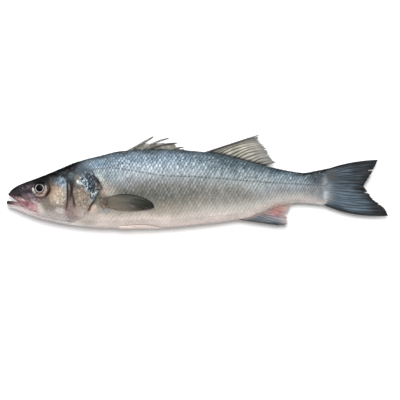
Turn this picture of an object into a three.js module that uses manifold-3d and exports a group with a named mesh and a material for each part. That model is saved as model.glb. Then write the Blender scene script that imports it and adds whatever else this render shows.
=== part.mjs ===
// European sea bass, whole and ungutted, lying on its right flank.
//
// Millimetres. +X runs from the jaws to the tail, +Y from the belly to the back, and +Z out of the left
// flank, which lies uppermost. The origin is under the middle of the fish, on the surface that it lies on.
//
// A raw fish is one piece, so it is one solid. The trunk and head are lofted through oval cross-sections
// and flattened where they lie. Each fin is a thin web ribbed by its rays. The jaws are parted, the eyes
// bulge, and the gill covers and upper jaw bones stand proud of the skin.

import * as THREE from 'three';
import { LoftGeometry } from 'three/addons/geometries/LoftGeometry.js';
import { mergeVertices } from 'three/addons/utils/BufferGeometryUtils.js';
import Module from 'manifold-3d';

// ---- Driving dimensions -------------------------------------------------------------------------------

const TOTAL_LENGTH = 380; // tip of the lower jaw to the tip of the tail
const BODY_WIDTH = 44; // across the thickest part of the trunk
const PERCENT = TOTAL_LENGTH / 100; // places along and above the axis are in percent of the total length
const HALF_WIDTH = BODY_WIDTH / 2;
const AROUND = 36; // points in each cross-section of the body
const CRISP = 1e-3; // vertices closer than this are one

// ---- Outlines -----------------------------------------------------------------------------------------

// A smooth curve through [place, value] points, as a function of the place. It holds its end values.
function outline(points) {
  const last = points.length - 1;
  const slope = points.map((point, i) => {
    const before = points[Math.max(i - 1, 0)];
    const after = points[Math.min(i + 1, last)];
    return (after[1] - before[1]) / (after[0] - before[0]);
  });
  return (place) => {
    if (place <= points[0][0]) return points[0][1];
    if (place >= points[last][0]) return points[last][1];
    const i = points.findIndex((point) => point[0] > place) - 1;
    const [x0, y0] = points[i];
    const [x1, y1] = points[i + 1];
    const span = x1 - x0;
    const t = (place - x0) / span;
    const rise = y0 + (y1 - y0) * t * t * (3 - 2 * t);
    return rise + span * t * (1 - t) * ((1 - t) * slope[i] - t * slope[i + 1]);
  };
}

const BODY_END = 84.5; // the flesh ends in a blade inside the tail fin

const back = outline([
  [0, -2.7], [0.6, -0.85], [1.4, 0.2], [3.5, 1.45], [8.7, 3.4], [14, 5.55], [17.5, 7.05], [21, 8.1],
  [24.4, 8.95], [29.7, 10.15], [38, 10.55], [48, 10.3], [56, 9.25], [66.9, 6.5], [74.2, 4.95], [78, 4.5],
  [81.5, 5.15], [BODY_END, 5.75],
]);
const belly = outline([
  [0, -3.35], [0.35, -4.35], [1.5, -4.75], [2.8, -5.25], [4.2, -5.85], [6, -6.55], [8.8, -7.45],
  [14, -8.65], [19.2, -9.4], [24.4, -9.87], [30, -9.95], [36, -9.75], [42.8, -9.8], [53.3, -8.75],
  [58, -8.1], [62.9, -7.3], [66.1, -6.2], [68.4, -5.35], [70.6, -4.6], [73.7, -3.75], [76.8, -3.4], [BODY_END, -4],
]);
// Half the thickness, as a share of the trunk's.
const girth = outline([
  [0, 0], [0.4, 0.15], [1.5, 0.28], [3.5, 0.43], [8.7, 0.67], [14, 0.84], [20, 0.97], [28, 1],
  [40, 0.98], [52, 0.85], [64, 0.6], [72, 0.42], [79, 0.24], [BODY_END, 0],
]);
// Where the section is thickest, from the belly at 0 to the back at 1: low on the head, higher behind.
const thickest = outline([[0, 0.4], [10, 0.42], [22, 0.46], [35, 0.52], [60, 0.55], [BODY_END, 0.5]]);
// Height of the fish's middle plane above the surface, in millimetres: the stiff tail is held clear of it.
const middle = outline([
  [0, 17.5], [8, 18.8], [18, 19.8], [30, 19.6], [48, 18.6], [64, 17.2], [80, 16], [90, 15.5], [100, 15],
]);

// ---- Body surface -------------------------------------------------------------------------------------

const FULLNESS = 0.93; // under 1, the sections are fuller than ellipses
const COVER_STEP = 1.2; // how far the gill cover's rear edge stands off the shoulder
const CHEEK_STEP = 0.8; // the same for the cheek plate's rear edge, in front of the gill cover
const CHEEK_EDGE = 15.8;
const STEP_RUN = 0.25; // how much of the length a step takes to fall

// The rear edge of the gill cover, from the throat up to the top of the opening: height to place.
const coverEdge = outline([
  [-9.2, 15], [-7.6, 19.1], [-5.4, 21.4], [-0.8, 23.4], [0.4, 24.8], [1.6, 24.2], [3.5, 22.9], [4.8, 19],
]);

const ease = (from, to, value) => THREE.MathUtils.smoothstep(value, Math.min(from, to), Math.max(from, to));

// How far the head's bony plates stand off the skin, at a place and height.
function plates(along, above) {
  const edge = coverEdge(above);
  const cover = ease(17.5, 20.5, along) * (1 - ease(edge - STEP_RUN, edge, along)) * (1 - ease(4.2, 5, above));
  const cheek = ease(12, 15, along) * (1 - ease(CHEEK_EDGE - STEP_RUN, CHEEK_EDGE, along));
  const cheekHeight = ease(-6, -4.6, above) * (1 - ease(1.6, 2.8, above));
  return COVER_STEP * cover + CHEEK_STEP * cheek * cheekHeight;
}

// The skin at a place along the fish and a turn round it: 0 is the left flank, a quarter turn the back.
function skin(along, turn) {
  const low = belly(along);
  const level = low + (back(along) - low) * thickest(along);
  const up = Math.sin(turn);
  const out = Math.cos(turn);
  const reach = up > 0 ? back(along) - level : level - low;
  const above = level + reach * Math.sign(up) * Math.abs(up) ** FULLNESS;
  const across = HALF_WIDTH * girth(along) * Math.abs(out) ** FULLNESS + plates(along, above) * Math.abs(out);
  const height = middle(along) + Math.sign(out) * across;
  return new THREE.Vector3(along * PERCENT, above * PERCENT, Math.max(height, 0));
}

// Half the fish's thickness at a place and height on its flank.
function flank(along, above) {
  const low = belly(along);
  const level = low + (back(along) - low) * thickest(along);
  const reach = above > level ? back(along) - level : level - low;
  const up = Math.min(Math.abs((above - level) / reach), 1) ** (1 / FULLNESS);
  return HALF_WIDTH * girth(along) * Math.sqrt(1 - up * up) ** FULLNESS + plates(along, above);
}

// Places of the cross-sections: close together where the head has detail, wider apart behind it.
const COVER_STATION = 22;
const BEND_REACH = 9;

function stations() {
  const places = [0, 0.1, 0.35, 0.8, 1.4, 2.2];
  const zones = [
    [3, 13, 11], [14.2, CHEEK_EDGE - STEP_RUN, 2], [CHEEK_EDGE, COVER_STATION - STEP_RUN, 8],
    [COVER_STATION, 27, 6], [29, 78, 21], [79.5, BODY_END, 4],
  ];
  for (const [from, to, count] of zones)
    for (let i = 0; i < count; i++) places.push(THREE.MathUtils.lerp(from, to, i / (count - 1)));
  return places;
}

// The sections near the gill opening are bent, so that one runs along the rear edge of the gill cover.
function bent(station, turn) {
  const edge = coverEdge(skin(COVER_STATION, turn).y / PERCENT);
  const pull = Math.max(1 - Math.abs(station - COVER_STATION) / BEND_REACH, 0);
  return station + (edge - COVER_STATION) * pull;
}

function bodySections() {
  return stations().map((station) => {
    const ring = [];
    for (let i = 0; i < AROUND; i++) {
      const turn = (-i / AROUND) * Math.PI * 2;
      ring.push(skin(bent(station, turn), turn));
    }
    return ring;
  });
}

// ---- Fins ---------------------------------------------------------------------------------------------

const RAY_THICK = 1.7; // through a ray near the body
const WEB_SHARE = 0.5; // the web's thickness as a share of the ray's
const TIP_SHARE = 0.45; // what is left of that at the tips
const RAY_STEPS = 4;

const inPlane = (along, above, off) =>
  new THREE.Vector3(along * PERCENT, above * PERCENT, Math.max(middle(along) + off, Math.abs(off)));

// A place on one flank, lifted off the skin by so many millimetres. Side is 1 for the left, -1 for the right.
function onFlank(side, lift) {
  return (along, above, off) => {
    const from = middle(along) + side * (flank(along, above) + lift(along));
    return new THREE.Vector3(along * PERCENT, above * PERCENT, Math.max(from, RAY_THICK / 2) + off);
  };
}

// A ray's path: from root to tip, drawn through a control point beside it.
function rayPath([rootX, rootY], [tipX, tipY], bow) {
  const root = new THREE.Vector2(rootX, rootY);
  const tip = new THREE.Vector2(tipX, tipY);
  const side = new THREE.Vector2(rootY - tipY, tipX - rootX).multiplyScalar(bow);
  return new THREE.QuadraticBezierCurve(root, root.clone().lerp(tip, 0.5).add(side), tip);
}

// One fin. Its rays run from the roots curve to the tips curve, and the web between two rays stops short
// of their tips by a share of their length. Bow bends the rays, from the first to the last.
function fin({ roots, tips, rays, bow = [0, 0], notch = () => 0.03, place = inPlane, thick = RAY_THICK }) {
  const rootLine = new THREE.SplineCurve(roots.map(([x, y]) => new THREE.Vector2(x, y)));
  const tipLine = new THREE.SplineCurve(tips.map(([x, y]) => new THREE.Vector2(x, y)));
  const columns = 2 * (rays - 1);
  const paths = [];
  for (let i = 0; i <= columns; i++) {
    const share = i / columns;
    const root = rootLine.getPointAt(share).toArray();
    const tip = tipLine.getPointAt(share).toArray();
    paths.push(rayPath(root, tip, THREE.MathUtils.lerp(bow[0], bow[1], share)));
  }
  const sections = [];
  for (let step = 0; step <= RAY_STEPS; step++) {
    const out = step / RAY_STEPS;
    const taper = step === 0 || step === RAY_STEPS ? 0 : THREE.MathUtils.lerp(1, TIP_SHARE, out);
    const point = (column, face) => {
      const isRay = column % 2 === 0;
      const reach = isRay ? 1 : 1 - notch(column / columns);
      const onEdge = column === 0 || column === columns;
      const half = onEdge ? 0 : (thick / 2) * taper * (isRay ? 1 : WEB_SHARE);
      const { x, y } = paths[column].getPoint(out * reach);
      return place(x, y, face * half);
    };
    const ring = [];
    for (let i = 0; i <= columns; i++) ring.push(point(i, -1));
    for (let i = columns - 1; i > 0; i--) ring.push(point(i, 1));
    sections.push(ring);
  }
  return new LoftGeometry(sections);
}

// A bare spine: a thin cone along its own path, with its root inside the fish.
function spine(root, tip, bow, thick) {
  const path = rayPath(root, tip, bow);
  const steps = 3;
  const sides = 5;
  const sections = [];
  for (let step = 0; step <= steps; step++) {
    const out = step / steps;
    const { x, y } = path.getPoint(out);
    const slant = path.getTangent(out);
    const radius = step === steps ? 0 : (thick / 2) * (1 - 0.55 * out);
    const ring = [];
    for (let i = 0; i < sides; i++) {
      const turn = (i / sides) * Math.PI * 2;
      const beside = (Math.cos(turn) * radius) / PERCENT;
      ring.push(inPlane(x - slant.y * beside, y + slant.x * beside, Math.sin(turn) * radius));
    }
    sections.push(ring);
  }
  return new LoftGeometry(sections, { capStart: true });
}

function tailFin() {
  return fin({
    roots: [[81.5, 4.6], [82.5, 0.7], [81.5, -3.2]],
    tips: [
      [97.3, 7.95], [96.5, 5.9], [95.6, 4.1], [94.7, 2.7], [93.75, 1.2], [94.4, 0.1], [95.3, -1.2],
      [96.3, -2.55], [98.3, -4], [99.3, -5.2], [99.95, -6.55],
    ],
    rays: 17,
    bow: [0.095, -0.12],
    thick: 2.2,
  });
}

function spinyDorsalWeb() {
  return fin({
    roots: [[31.6, 9.4], [37, 9.5], [46.5, 9.4]],
    tips: [[35.6, 12.3], [37.2, 12.1], [38.6, 12.2], [41, 12.4], [44.2, 12], [45.4, 11], [47.4, 10.4]],
    rays: 9,
    notch: () => 0.08,
  });
}

// The spines of the first dorsal fin, whose web is torn: each one's root, tip, bow and thickness.
const DORSAL_SPINES = [
  [[30.9, 9.6], [38.6, 14.1], -0.01, 2.9],
  [[34.6, 9.8], [42.7, 13.6], 0.13, 2.3],
  [[35.2, 9.8], [44.9, 12.3], 0.11, 2.4],
  [[40, 9.7], [46.5, 11.25], 0.06, 2],
  [[41.6, 9.7], [46.6, 10.6], 0.06, 1.8],
];
const SOFT_DORSAL_SPINE = [[50.9, 9.4], [66.35, 14.5], 0, 2];

function softDorsalFin() {
  return fin({
    roots: [[51.1, 9.3], [59.6, 7.2], [66.4, 5.4]],
    tips: [[65.8, 14.05], [66.9, 12.9], [68.2, 11.2], [68.9, 9.6], [69.7, 8], [70.6, 7.2]],
    rays: 13,
    bow: [0.025, 0.14],
  });
}

function analFin() {
  return fin({
    roots: [[59.5, -7.6], [66.5, -5.2], [72.4, -3.5]],
    tips: [
      [71.4, -9.3], [74.3, -9.2], [73.9, -8.2], [73.5, -7.1], [73, -6.2], [73.9, -5.2], [74, -4.2],
      [73.9, -3.4],
    ],
    rays: 13,
    bow: [0, 0],
  });
}

function pectoralFin(side) {
  return fin({
    roots: [[25.3, -2.5], [26.2, -3.6], [26.4, -4.6]],
    tips: [[37.8, -2.9], [38.6, -3.7], [39, -4.5], [38.4, -5], [36.6, -5.4], [32.6, -5.6], [28.8, -5.2]],
    rays: 12,
    bow: [0.27, 0.02],
    place: onFlank(side, (along) => 0.9 + 2.2 * ease(27, 39, along) - 3 * (1 - ease(25.4, 27.4, along))),
  });
}

// The pelvic fins lie folded back along the belly, side by side. Their chart is place along the fish
// against degrees from the keel up the flank.
function pelvicFin(side) {
  const keel = -Math.PI / 2;
  const onBelly = (along, degrees, off) => {
    const turn = keel + side * THREE.MathUtils.degToRad(degrees);
    const lift = 0.9 - 3.5 * (1 - ease(28.4, 30, along)) + off;
    const out = new THREE.Vector3(0, Math.sin(turn), Math.cos(turn));
    const point = skin(along, turn).addScaledVector(out, lift);
    point.z = Math.max(point.z, 0);
    return point;
  };
  return fin({
    roots: [[28.6, 10], [28.9, 16], [29, 22]],
    tips: [[39, 5], [40.6, 10], [39.6, 17], [36.5, 24]],
    rays: 6,
    place: (along, degrees, off) => onBelly(along, degrees, -side * off),
    thick: 1.5,
  });
}

// ---- Head ---------------------------------------------------------------------------------------------

const EYE = [8.8, 0.25];
const EYE_RADIUS = 8;
const EYE_BULGE = 4;

// A dome on each side of the head, with a low rim of skin round it. Both lean with the side of the head
// and sit on the chord across it.
function eye(side) {
  const [along, above] = EYE;
  const reach = EYE_RADIUS / PERCENT;
  const low = flank(along, above - reach);
  const high = flank(along, above + reach);
  const lean = Math.atan2(low - high, 2 * EYE_RADIUS);
  const turn = Math.atan2(flank(along + reach, above) - flank(along - reach, above), 2 * EYE_RADIUS);
  const ball = new THREE.SphereGeometry(1, 16, 8);
  ball.rotateX(Math.PI / 2);
  ball.scale(EYE_RADIUS, EYE_RADIUS, EYE_BULGE);
  const rim = new THREE.TorusGeometry(EYE_RADIUS + 0.4, 0.9, 6, 16);
  const seat = middle(along) + (side * (low + high)) / 2;
  return [ball, rim].map((shape) =>
    shape.rotateX(-side * lean).rotateY(-side * turn).translate(along * PERCENT, above * PERCENT, seat));
}

// The upper jaw bone: a flat plate that slants down and back from the snout and widens to its rear end.
function jawBone(side) {
  const line = rayPath([1.5, -1.5], [8.5, -4.9], 0.02);
  const sections = [];
  const steps = 7;
  const sides = 8;
  for (let step = 0; step <= steps; step++) {
    const out = step / steps;
    const { x, y } = line.getPoint(out);
    const slant = line.getTangent(out);
    const half = step === 0 || step === steps ? 0 : 0.35 + 0.75 * out;
    const ring = [];
    for (let i = 0; i < sides; i++) {
      const turn = (-side * i * Math.PI * 2) / sides;
      const beside = Math.cos(turn) * half;
      const along = x - slant.y * beside;
      const above = y + slant.x * beside;
      const proud = half === 0 ? 0 : Math.sin(turn) * 1.1;
      const height = middle(along) + side * (flank(along, above) + proud);
      ring.push(new THREE.Vector3(along * PERCENT, above * PERCENT, height));
    }
    sections.push(ring);
  }
  return new LoftGeometry(sections);
}

// What the parted jaws leave open: a wedge seen from the side, and a pocket behind it.
function mouthCut() {
  const gape = new THREE.Shape();
  gape.moveTo(-1.5 * PERCENT, -3.1 * PERCENT);
  gape.lineTo(2.9 * PERCENT, -3.05 * PERCENT);
  gape.lineTo(0.5 * PERCENT, -1.1 * PERCENT);
  gape.lineTo(-1.5 * PERCENT, -0.9 * PERCENT);
  const wedge = new THREE.ExtrudeGeometry(gape, { depth: BODY_WIDTH, bevelEnabled: false });
  const pocket = new THREE.SphereGeometry(1, 12, 8);
  pocket.scale(3.4 * PERCENT, 1.1 * PERCENT, 1.5 * PERCENT);
  pocket.rotateZ(-0.12);
  pocket.translate(2.6 * PERCENT, -3 * PERCENT, middle(2.6));
  return [wedge, pocket];
}

// ---- Joining ------------------------------------------------------------------------------------------

const wasm = await Module();
wasm.setup();

// A closed geometry as a solid facing outwards. Triangles that have collapsed to a line are dropped.
function solidOf(geometry) {
  const bare = new THREE.BufferGeometry().copy(geometry);
  bare.deleteAttribute('normal');
  bare.deleteAttribute('uv');
  const merged = mergeVertices(bare, CRISP);
  const corners = merged.index.array;
  const kept = [];
  for (let i = 0; i < corners.length; i += 3) {
    const [a, b, c] = corners.subarray(i, i + 3);
    if (a !== b && b !== c && a !== c) kept.push(a, b, c);
  }
  const enclose = (triangles) =>
    new wasm.Manifold(new wasm.Mesh({
      numProp: 3,
      vertProperties: new Float32Array(merged.attributes.position.array),
      triVerts: new Uint32Array(triangles),
    }));
  const solid = enclose(kept);
  return solid.volume() > 0 ? solid : enclose(kept.toReversed());
}

function geometryOf(solid) {
  const mesh = solid.getMesh();
  const geometry = new THREE.BufferGeometry();
  geometry.setAttribute('position', new THREE.BufferAttribute(new Float32Array(mesh.vertProperties), 3));
  geometry.setIndex(new THREE.BufferAttribute(new Uint32Array(mesh.triVerts), 1));
  geometry.computeVertexNormals();
  return geometry;
}

const grown = [
  new LoftGeometry(bodySections()),
  tailFin(),
  spinyDorsalWeb(),
  ...[...DORSAL_SPINES, SOFT_DORSAL_SPINE].map((facts) => spine(...facts)),
  softDorsalFin(),
  analFin(),
  ...[1, -1].flatMap((side) => [pectoralFin(side), pelvicFin(side), jawBone(side), ...eye(side)]),
];

const whole = grown.map(solidOf).reduce((sum, solid) => sum.add(solid));
const fish = mouthCut().map(solidOf).reduce((rest, solid) => rest.subtract(solid), whole);

// ---- The part -----------------------------------------------------------------------------------------

const skinMaterial = new THREE.MeshStandardMaterial({ color: 0x9aa3a6, roughness: 0.35, metalness: 0.25 });
const seaBass = new THREE.Mesh(geometryOf(fish), skinMaterial);
seaBass.name = 'sea_bass';
const { min, max } = new THREE.Box3().setFromBufferAttribute(seaBass.geometry.attributes.position);
seaBass.position.set(-(min.x + max.x) / 2, -(min.y + max.y) / 2, -min.z);

const part = new THREE.Group();
part.add(seaBass);

export default part;
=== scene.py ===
import math

import bpy
import numpy as np
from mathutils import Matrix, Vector


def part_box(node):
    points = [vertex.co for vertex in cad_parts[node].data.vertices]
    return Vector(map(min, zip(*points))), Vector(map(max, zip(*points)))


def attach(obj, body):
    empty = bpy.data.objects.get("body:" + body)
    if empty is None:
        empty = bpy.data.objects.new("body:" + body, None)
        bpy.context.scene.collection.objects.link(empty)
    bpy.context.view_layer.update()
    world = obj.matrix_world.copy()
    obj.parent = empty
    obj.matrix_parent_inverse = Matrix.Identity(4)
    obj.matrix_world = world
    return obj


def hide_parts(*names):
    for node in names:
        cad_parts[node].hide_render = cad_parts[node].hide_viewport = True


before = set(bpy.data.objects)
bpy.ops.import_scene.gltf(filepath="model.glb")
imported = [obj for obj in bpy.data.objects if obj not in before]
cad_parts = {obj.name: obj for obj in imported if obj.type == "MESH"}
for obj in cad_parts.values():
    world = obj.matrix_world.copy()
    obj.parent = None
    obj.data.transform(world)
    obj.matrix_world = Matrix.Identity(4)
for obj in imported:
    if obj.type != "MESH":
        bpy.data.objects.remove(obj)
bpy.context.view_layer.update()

# ---- Studio -------------------------------------------------------------------------------------------
# A white paper sweep, lit softly by one large box beyond the fish's back and by pale walls all round.
# The camera hangs straight overhead on a long lens.

VIEW_WIDTH = 0.398
VIEW_CENTRE = (0.0024, -0.0182)
FOCUS_HEIGHT = 0.018
LENS = 350
SENSOR = 36
PAPER_SIZE = 12
PAPER_LIGHT = 1.1
WALL_LIGHT = 0.75
OVERHEAD_LIGHT = 0.12
NEAR_WALL, FAR_WALL = 0.45, 1.25
MIRRORED_SHARE = 0.45

bpy.ops.object.select_all(action="DESELECT")
camera_height = FOCUS_HEIGHT + VIEW_WIDTH * LENS / SENSOR
bpy.ops.object.camera_add(location=(*VIEW_CENTRE, camera_height), rotation=(0, 0, 0))
camera = bpy.context.object
camera.data.lens = LENS
camera.data.sensor_width = SENSOR
bpy.context.scene.camera = camera
bpy.context.scene.view_settings.view_transform = "Standard"


def softbox(name, place, size, power, mirrored=True):
    """A rectangular light that faces the fish. Wet skin mirrors it, unless mirrored is off."""
    bpy.ops.object.light_add(type="AREA", location=place)
    box = bpy.context.object
    box.name = name
    box.data.shape = "RECTANGLE"
    box.data.size, box.data.size_y = size
    box.data.energy = power
    box.rotation_euler = (-Vector(place)).to_track_quat("-Z", "Y").to_euler()
    box.visible_camera = False
    box.visible_glossy = mirrored


softbox("key_box", (0.0, 0.56, 2.76), (0.84, 0.84), 76, mirrored=False)
softbox("sheen_box", (-0.1, 1.0, 0.95), (1.1, 0.4), 6)
softbox("fill_box", (0.05, -1.15, 0.42), (1.0, 0.5), 5)


def linear(shade):
    """A hex colour as the linear RGBA that a shader takes."""
    parts = [int(shade[i:i + 2], 16) / 255 for i in (0, 2, 4)]
    return (*[p / 12.92 if p < 0.04045 else ((p + 0.055) / 1.055) ** 2.4 for p in parts], 1)


def feed(socket, value):
    """Gives a socket a link, a hex colour or a plain value."""
    if isinstance(value, bpy.types.NodeSocket):
        socket.id_data.links.new(value, socket)
    else:
        socket.default_value = linear(value) if isinstance(value, str) else value


def add(kind, inputs={}, tree=None, **settings):
    """A shader node with its settings and inputs, in the tree of the first link that it is given."""
    links = [value for value in inputs.values() if isinstance(value, bpy.types.NodeSocket)]
    made = (tree or links[0].id_data).nodes.new("ShaderNode" + kind)
    for name, value in settings.items():
        setattr(made, name, value)
    for name, value in inputs.items():
        feed(made.inputs[name], value)
    return made


def times(a, b):
    return add("Math", {0: a, 1: b}, operation="MULTIPLY").outputs[0]


def spread(value, start, end, low=0.0, high=1.0, course="SMOOTHSTEP"):
    """Maps a value from one range to another, and holds it at the ends."""
    return add("MapRange", {
        "Value": value, "From Min": start, "From Max": end, "To Min": low, "To Max": high,
    }, interpolation_type=course).outputs["Result"]


world = bpy.data.worlds.new("studio")
world.use_nodes = True
bpy.context.scene.world = world
sky = world.node_tree
sky.nodes.clear()
facing = add("SeparateXYZ", {0: add("TexCoord", tree=sky).outputs["Generated"]}).outputs
rays = add("LightPath", tree=sky).outputs
overhead = spread(facing["Z"], 0.5, 0.9, WALL_LIGHT, OVERHEAD_LIGHT)
far_side = spread(facing["Y"], -0.6, 0.7, NEAR_WALL, FAR_WALL, "LINEAR")
low_down = spread(facing["Z"], -0.1, 0.35, 0.0, MIRRORED_SHARE)
mirrored = spread(rays["Is Glossy Ray"], 0.0, 1.0, 1.0, low_down, "LINEAR")
walls = add("Background", {"Color": "ffffff", "Strength": times(times(overhead, far_side), mirrored)})
paper = add("Background", {"Color": "ffffff", "Strength": PAPER_LIGHT}, sky)
both = add("MixShader", {0: rays["Is Camera Ray"], 1: walls.outputs[0], 2: paper.outputs[0]})
add("OutputWorld", {"Surface": both.outputs[0]})


def finish(name, **sockets):
    """A new material, its Principled shader with plain values set, and the place that patterns read."""
    material = bpy.data.materials.new(name)
    material.use_nodes = True
    shader = material.node_tree.nodes["Principled BSDF"]
    for socket, value in sockets.items():
        shader.inputs[socket.replace("_", " ")].default_value = value
    return material, shader, add("TexCoord", tree=material.node_tree).outputs["Object"]


def noise(place, scale, detail=2.0, roughness=0.5):
    """Cloudy patches, 0 to 1."""
    return add("TexNoise", {
        "Vector": place, "Scale": scale, "Detail": detail, "Roughness": roughness,
    }).outputs["Fac"]


def ramp(factor, stops, course="LINEAR"):
    """Colours along a factor: each stop is a place and a hex colour."""
    made = add("ValToRGB", {"Fac": factor})
    band = made.color_ramp
    band.interpolation = course
    while len(band.elements) < len(stops):
        band.elements.new(0.5)
    for element, (place, shade) in zip(band.elements, stops):
        element.position = place
        element.color = linear(shade)
    return made.outputs["Color"]


bpy.ops.mesh.primitive_plane_add(size=PAPER_SIZE)
floor = bpy.context.object
floor.name = "floor"
paper_white, shader, place = finish("paper", Roughness=0.9)
feed(shader.inputs["Base Color"], ramp(noise(place, 900), [(0.3, "f7f7f7"), (0.7, "fbfbfb")]))
floor.data.materials.append(paper_white)
floor.visible_glossy = False

# ---- Trunk and head -----------------------------------------------------------------------------------
# The raw, ungutted fish itself, from the snout to the root of the tail. It is soft flesh under wet skin,
# pressed flat where it lies, with thin bony plates over the cheek and the gills.

low_corner, high_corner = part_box("sea_bass")
PERCENT = (high_corner.x - low_corner.x) / 100
MM = 0.001
NOSE = low_corner.x
AXIS_ABOVE_LOWEST = 38.44 * MM
AXIS = low_corner.y + AXIS_ABOVE_LOWEST
BODY_END = 84.5
HALF_WIDTH = 22
FULLNESS = 0.93


def outline(points):
    """A smooth curve through (place, value) points, as a function of the place. It holds its end values."""
    places, values = np.array(points, float).T
    last = len(points) - 1
    before = np.maximum(np.arange(last + 1) - 1, 0)
    after = np.minimum(np.arange(last + 1) + 1, last)
    slope = (values[after] - values[before]) / (places[after] - places[before])

    def value(place):
        place = np.clip(place, places[0], places[-1])
        i = np.clip(np.searchsorted(places, place, side="right") - 1, 0, last - 1)
        span = places[i + 1] - places[i]
        t = (place - places[i]) / span
        rise = values[i] + (values[i + 1] - values[i]) * t * t * (3 - 2 * t)
        return rise + span * t * (1 - t) * ((1 - t) * slope[i] - t * slope[i + 1])

    return value


back = outline([
    (0, -2.7), (0.6, -0.85), (1.4, 0.2), (3.5, 1.45), (8.7, 3.4), (14, 5.55), (17.5, 7.05), (21, 8.1),
    (24.4, 8.95), (29.7, 10.15), (38, 10.55), (48, 10.3), (56, 9.25), (66.9, 6.5), (74.2, 4.95), (78, 4.5),
    (81.5, 5.15), (BODY_END, 5.75),
])
belly = outline([
    (0, -3.35), (0.35, -4.35), (1.5, -4.75), (2.8, -5.25), (4.2, -5.85), (6, -6.55), (8.8, -7.45),
    (14, -8.65), (19.2, -9.4), (24.4, -9.87), (30, -9.95), (36, -9.75), (42.8, -9.8), (53.3, -8.75),
    (58, -8.1), (62.9, -7.3), (66.1, -6.2), (68.4, -5.35), (70.6, -4.6), (73.7, -3.75), (76.8, -3.4),
    (BODY_END, -4),
])
girth = outline([
    (0, 0), (0.4, 0.15), (1.5, 0.28), (3.5, 0.43), (8.7, 0.67), (14, 0.84), (20, 0.97), (28, 1),
    (40, 0.98), (52, 0.85), (64, 0.6), (72, 0.42), (79, 0.24), (BODY_END, 0),
])
thickest = outline([(0, 0.4), (10, 0.42), (22, 0.46), (35, 0.52), (60, 0.55), (BODY_END, 0.5)])
middle = outline([
    (0, 17.5), (8, 18.8), (18, 19.8), (30, 19.6), (48, 18.6), (64, 17.2), (80, 16), (90, 15.5), (100, 15),
])

# Edges of the bony plates, as the place of the edge at each height.
cover_edge = outline([
    (-9.2, 15), (-7.6, 19.1), (-5.4, 21.3), (-4, 22.05), (-3, 22.7), (-2, 23.35), (-0.8, 23.95),
    (0.4, 24.8), (1.6, 24.2), (3.5, 22.9), (4.8, 19),
])
cheek_edge = outline([(-5.6, 15.35), (-4.2, 15.8), (-2, 16.0), (2, 15.95), (3.4, 15.5)])
inner_edge = outline([(-4.6, 18.1), (-2.5, 17.65), (-0.5, 17.2), (1.7, 16.85), (2.8, 16.6)])
# Folds that run along the head, as the height of the fold at each place.
throat_fold = outline([(6, -5.9), (10, -7), (15, -8), (19, -8.5)])
lip_fold = outline([(2.4, -1.2), (5, -2.2), (8, -2.9), (11, -3)])
lateral_line = outline([
    (20, 4.4), (24, 5.5), (28.5, 5.7), (35, 4.7), (41.5, 3.7), (48, 3.5), (57, 2.9), (65, 2.2), (77, 1.5),
    (84, 1.1),
])
EYE = (8.8, 0.25)
EYELID_CENTRE = (9.0, 0.25)
EYELID_REACH = 2.33
EYE_SOCKET = 2.2
NOSTRILS = [(4.45, -0.3), (5.15, -0.05)]
NOSTRIL_DEPTH, NOSTRIL_WIDTH = 1.1, 0.17
NOSTRIL_RIM, NOSTRIL_RIM_WIDTH = 0.3, 0.12
COVER_STEP = 1.2
CHEEK_STEP = 0.6
SOCKET_DEPTH = 1.2
SOCKET_RIM = 0.35
CREASE_DEPTH = 0.75
STEP_RUN = 0.22
NO_LINE = 9.0


def ease(start, end, value):
    t = np.clip((value - start) / (end - start), 0, 1)
    return t * t * (3 - 2 * t)


def between(value, a, b, c, d):
    """1 where a value lies from b to c, easing down to 0 at a and at d."""
    return ease(a, b, value) * (1 - ease(c, d, value))


def groove(distance, width):
    return np.exp(-((distance / width) ** 2))


def creases(along, above):
    """Depth of the creases in the head's skin, 0 to 1. Each follows its own line and fades at its ends."""
    gill = between(along - cover_edge(above), -0.1, 0.12, 0.12, 0.75) * between(above, -6.2, -4.2, 2.5, 4.5)
    gill = gill * (1 - 0.35 * groove(above + 1.8, 1.6))
    cheek = 0.95 * groove(along - cheek_edge(above) - 0.1, 0.25) * between(above, -6, -4, 1.4, 2.6)
    inner = groove(along - inner_edge(above), 0.37) * between(above, -5, -3.4, 1.6, 2.8)
    aside, aloft = along - EYELID_CENTRE[0], above - EYELID_CENTRE[1]
    from_eye = np.hypot(aside, aloft)
    behind_eye = ease(-0.4, 0.5, (aside - aloft) / np.maximum(from_eye, 0.1) / 1.4)
    eyelid = 0.9 * groove(from_eye - EYELID_REACH, 0.33) * behind_eye
    throat = 0.5 * groove(above - throat_fold(along), 0.14) * between(along, 6, 8, 17, 19)
    lip = 0.45 * groove(above - lip_fold(along), 0.16) * between(along, 2.4, 3.4, 9.5, 11)
    return np.clip(np.maximum.reduce([gill, cheek, inner, eyelid, throat, lip]), 0, 1)


def relief(along, above):
    """How far the plates, rims and creases of the head stand off its smooth form, in millimetres."""
    edge, cheek_end = cover_edge(above), cheek_edge(above)
    cover = between(along, 17.2, 20.5, edge - STEP_RUN, edge) * (1 - ease(4.2, 5, above))
    cheek = between(along, 12, 15, cheek_end - STEP_RUN, cheek_end) * between(above, -6, -4.6, 1.8, 3)
    from_eye = np.hypot(along - EYE[0], above - EYE[1] + 0.1)
    socket = SOCKET_RIM * groove(from_eye - EYE_SOCKET, 0.2) - SOCKET_DEPTH * (1 - ease(1.7, 2.1, from_eye))
    height = COVER_STEP * cover + CHEEK_STEP * cheek + socket - CREASE_DEPTH * creases(along, above)
    for x, y in NOSTRILS:
        from_pit = np.hypot(along - x, above - y)
        height = height - NOSTRIL_DEPTH * groove(from_pit, NOSTRIL_WIDTH)
        height = height + NOSTRIL_RIM * groove(from_pit - 0.32, NOSTRIL_RIM_WIDTH)
    return height


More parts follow.
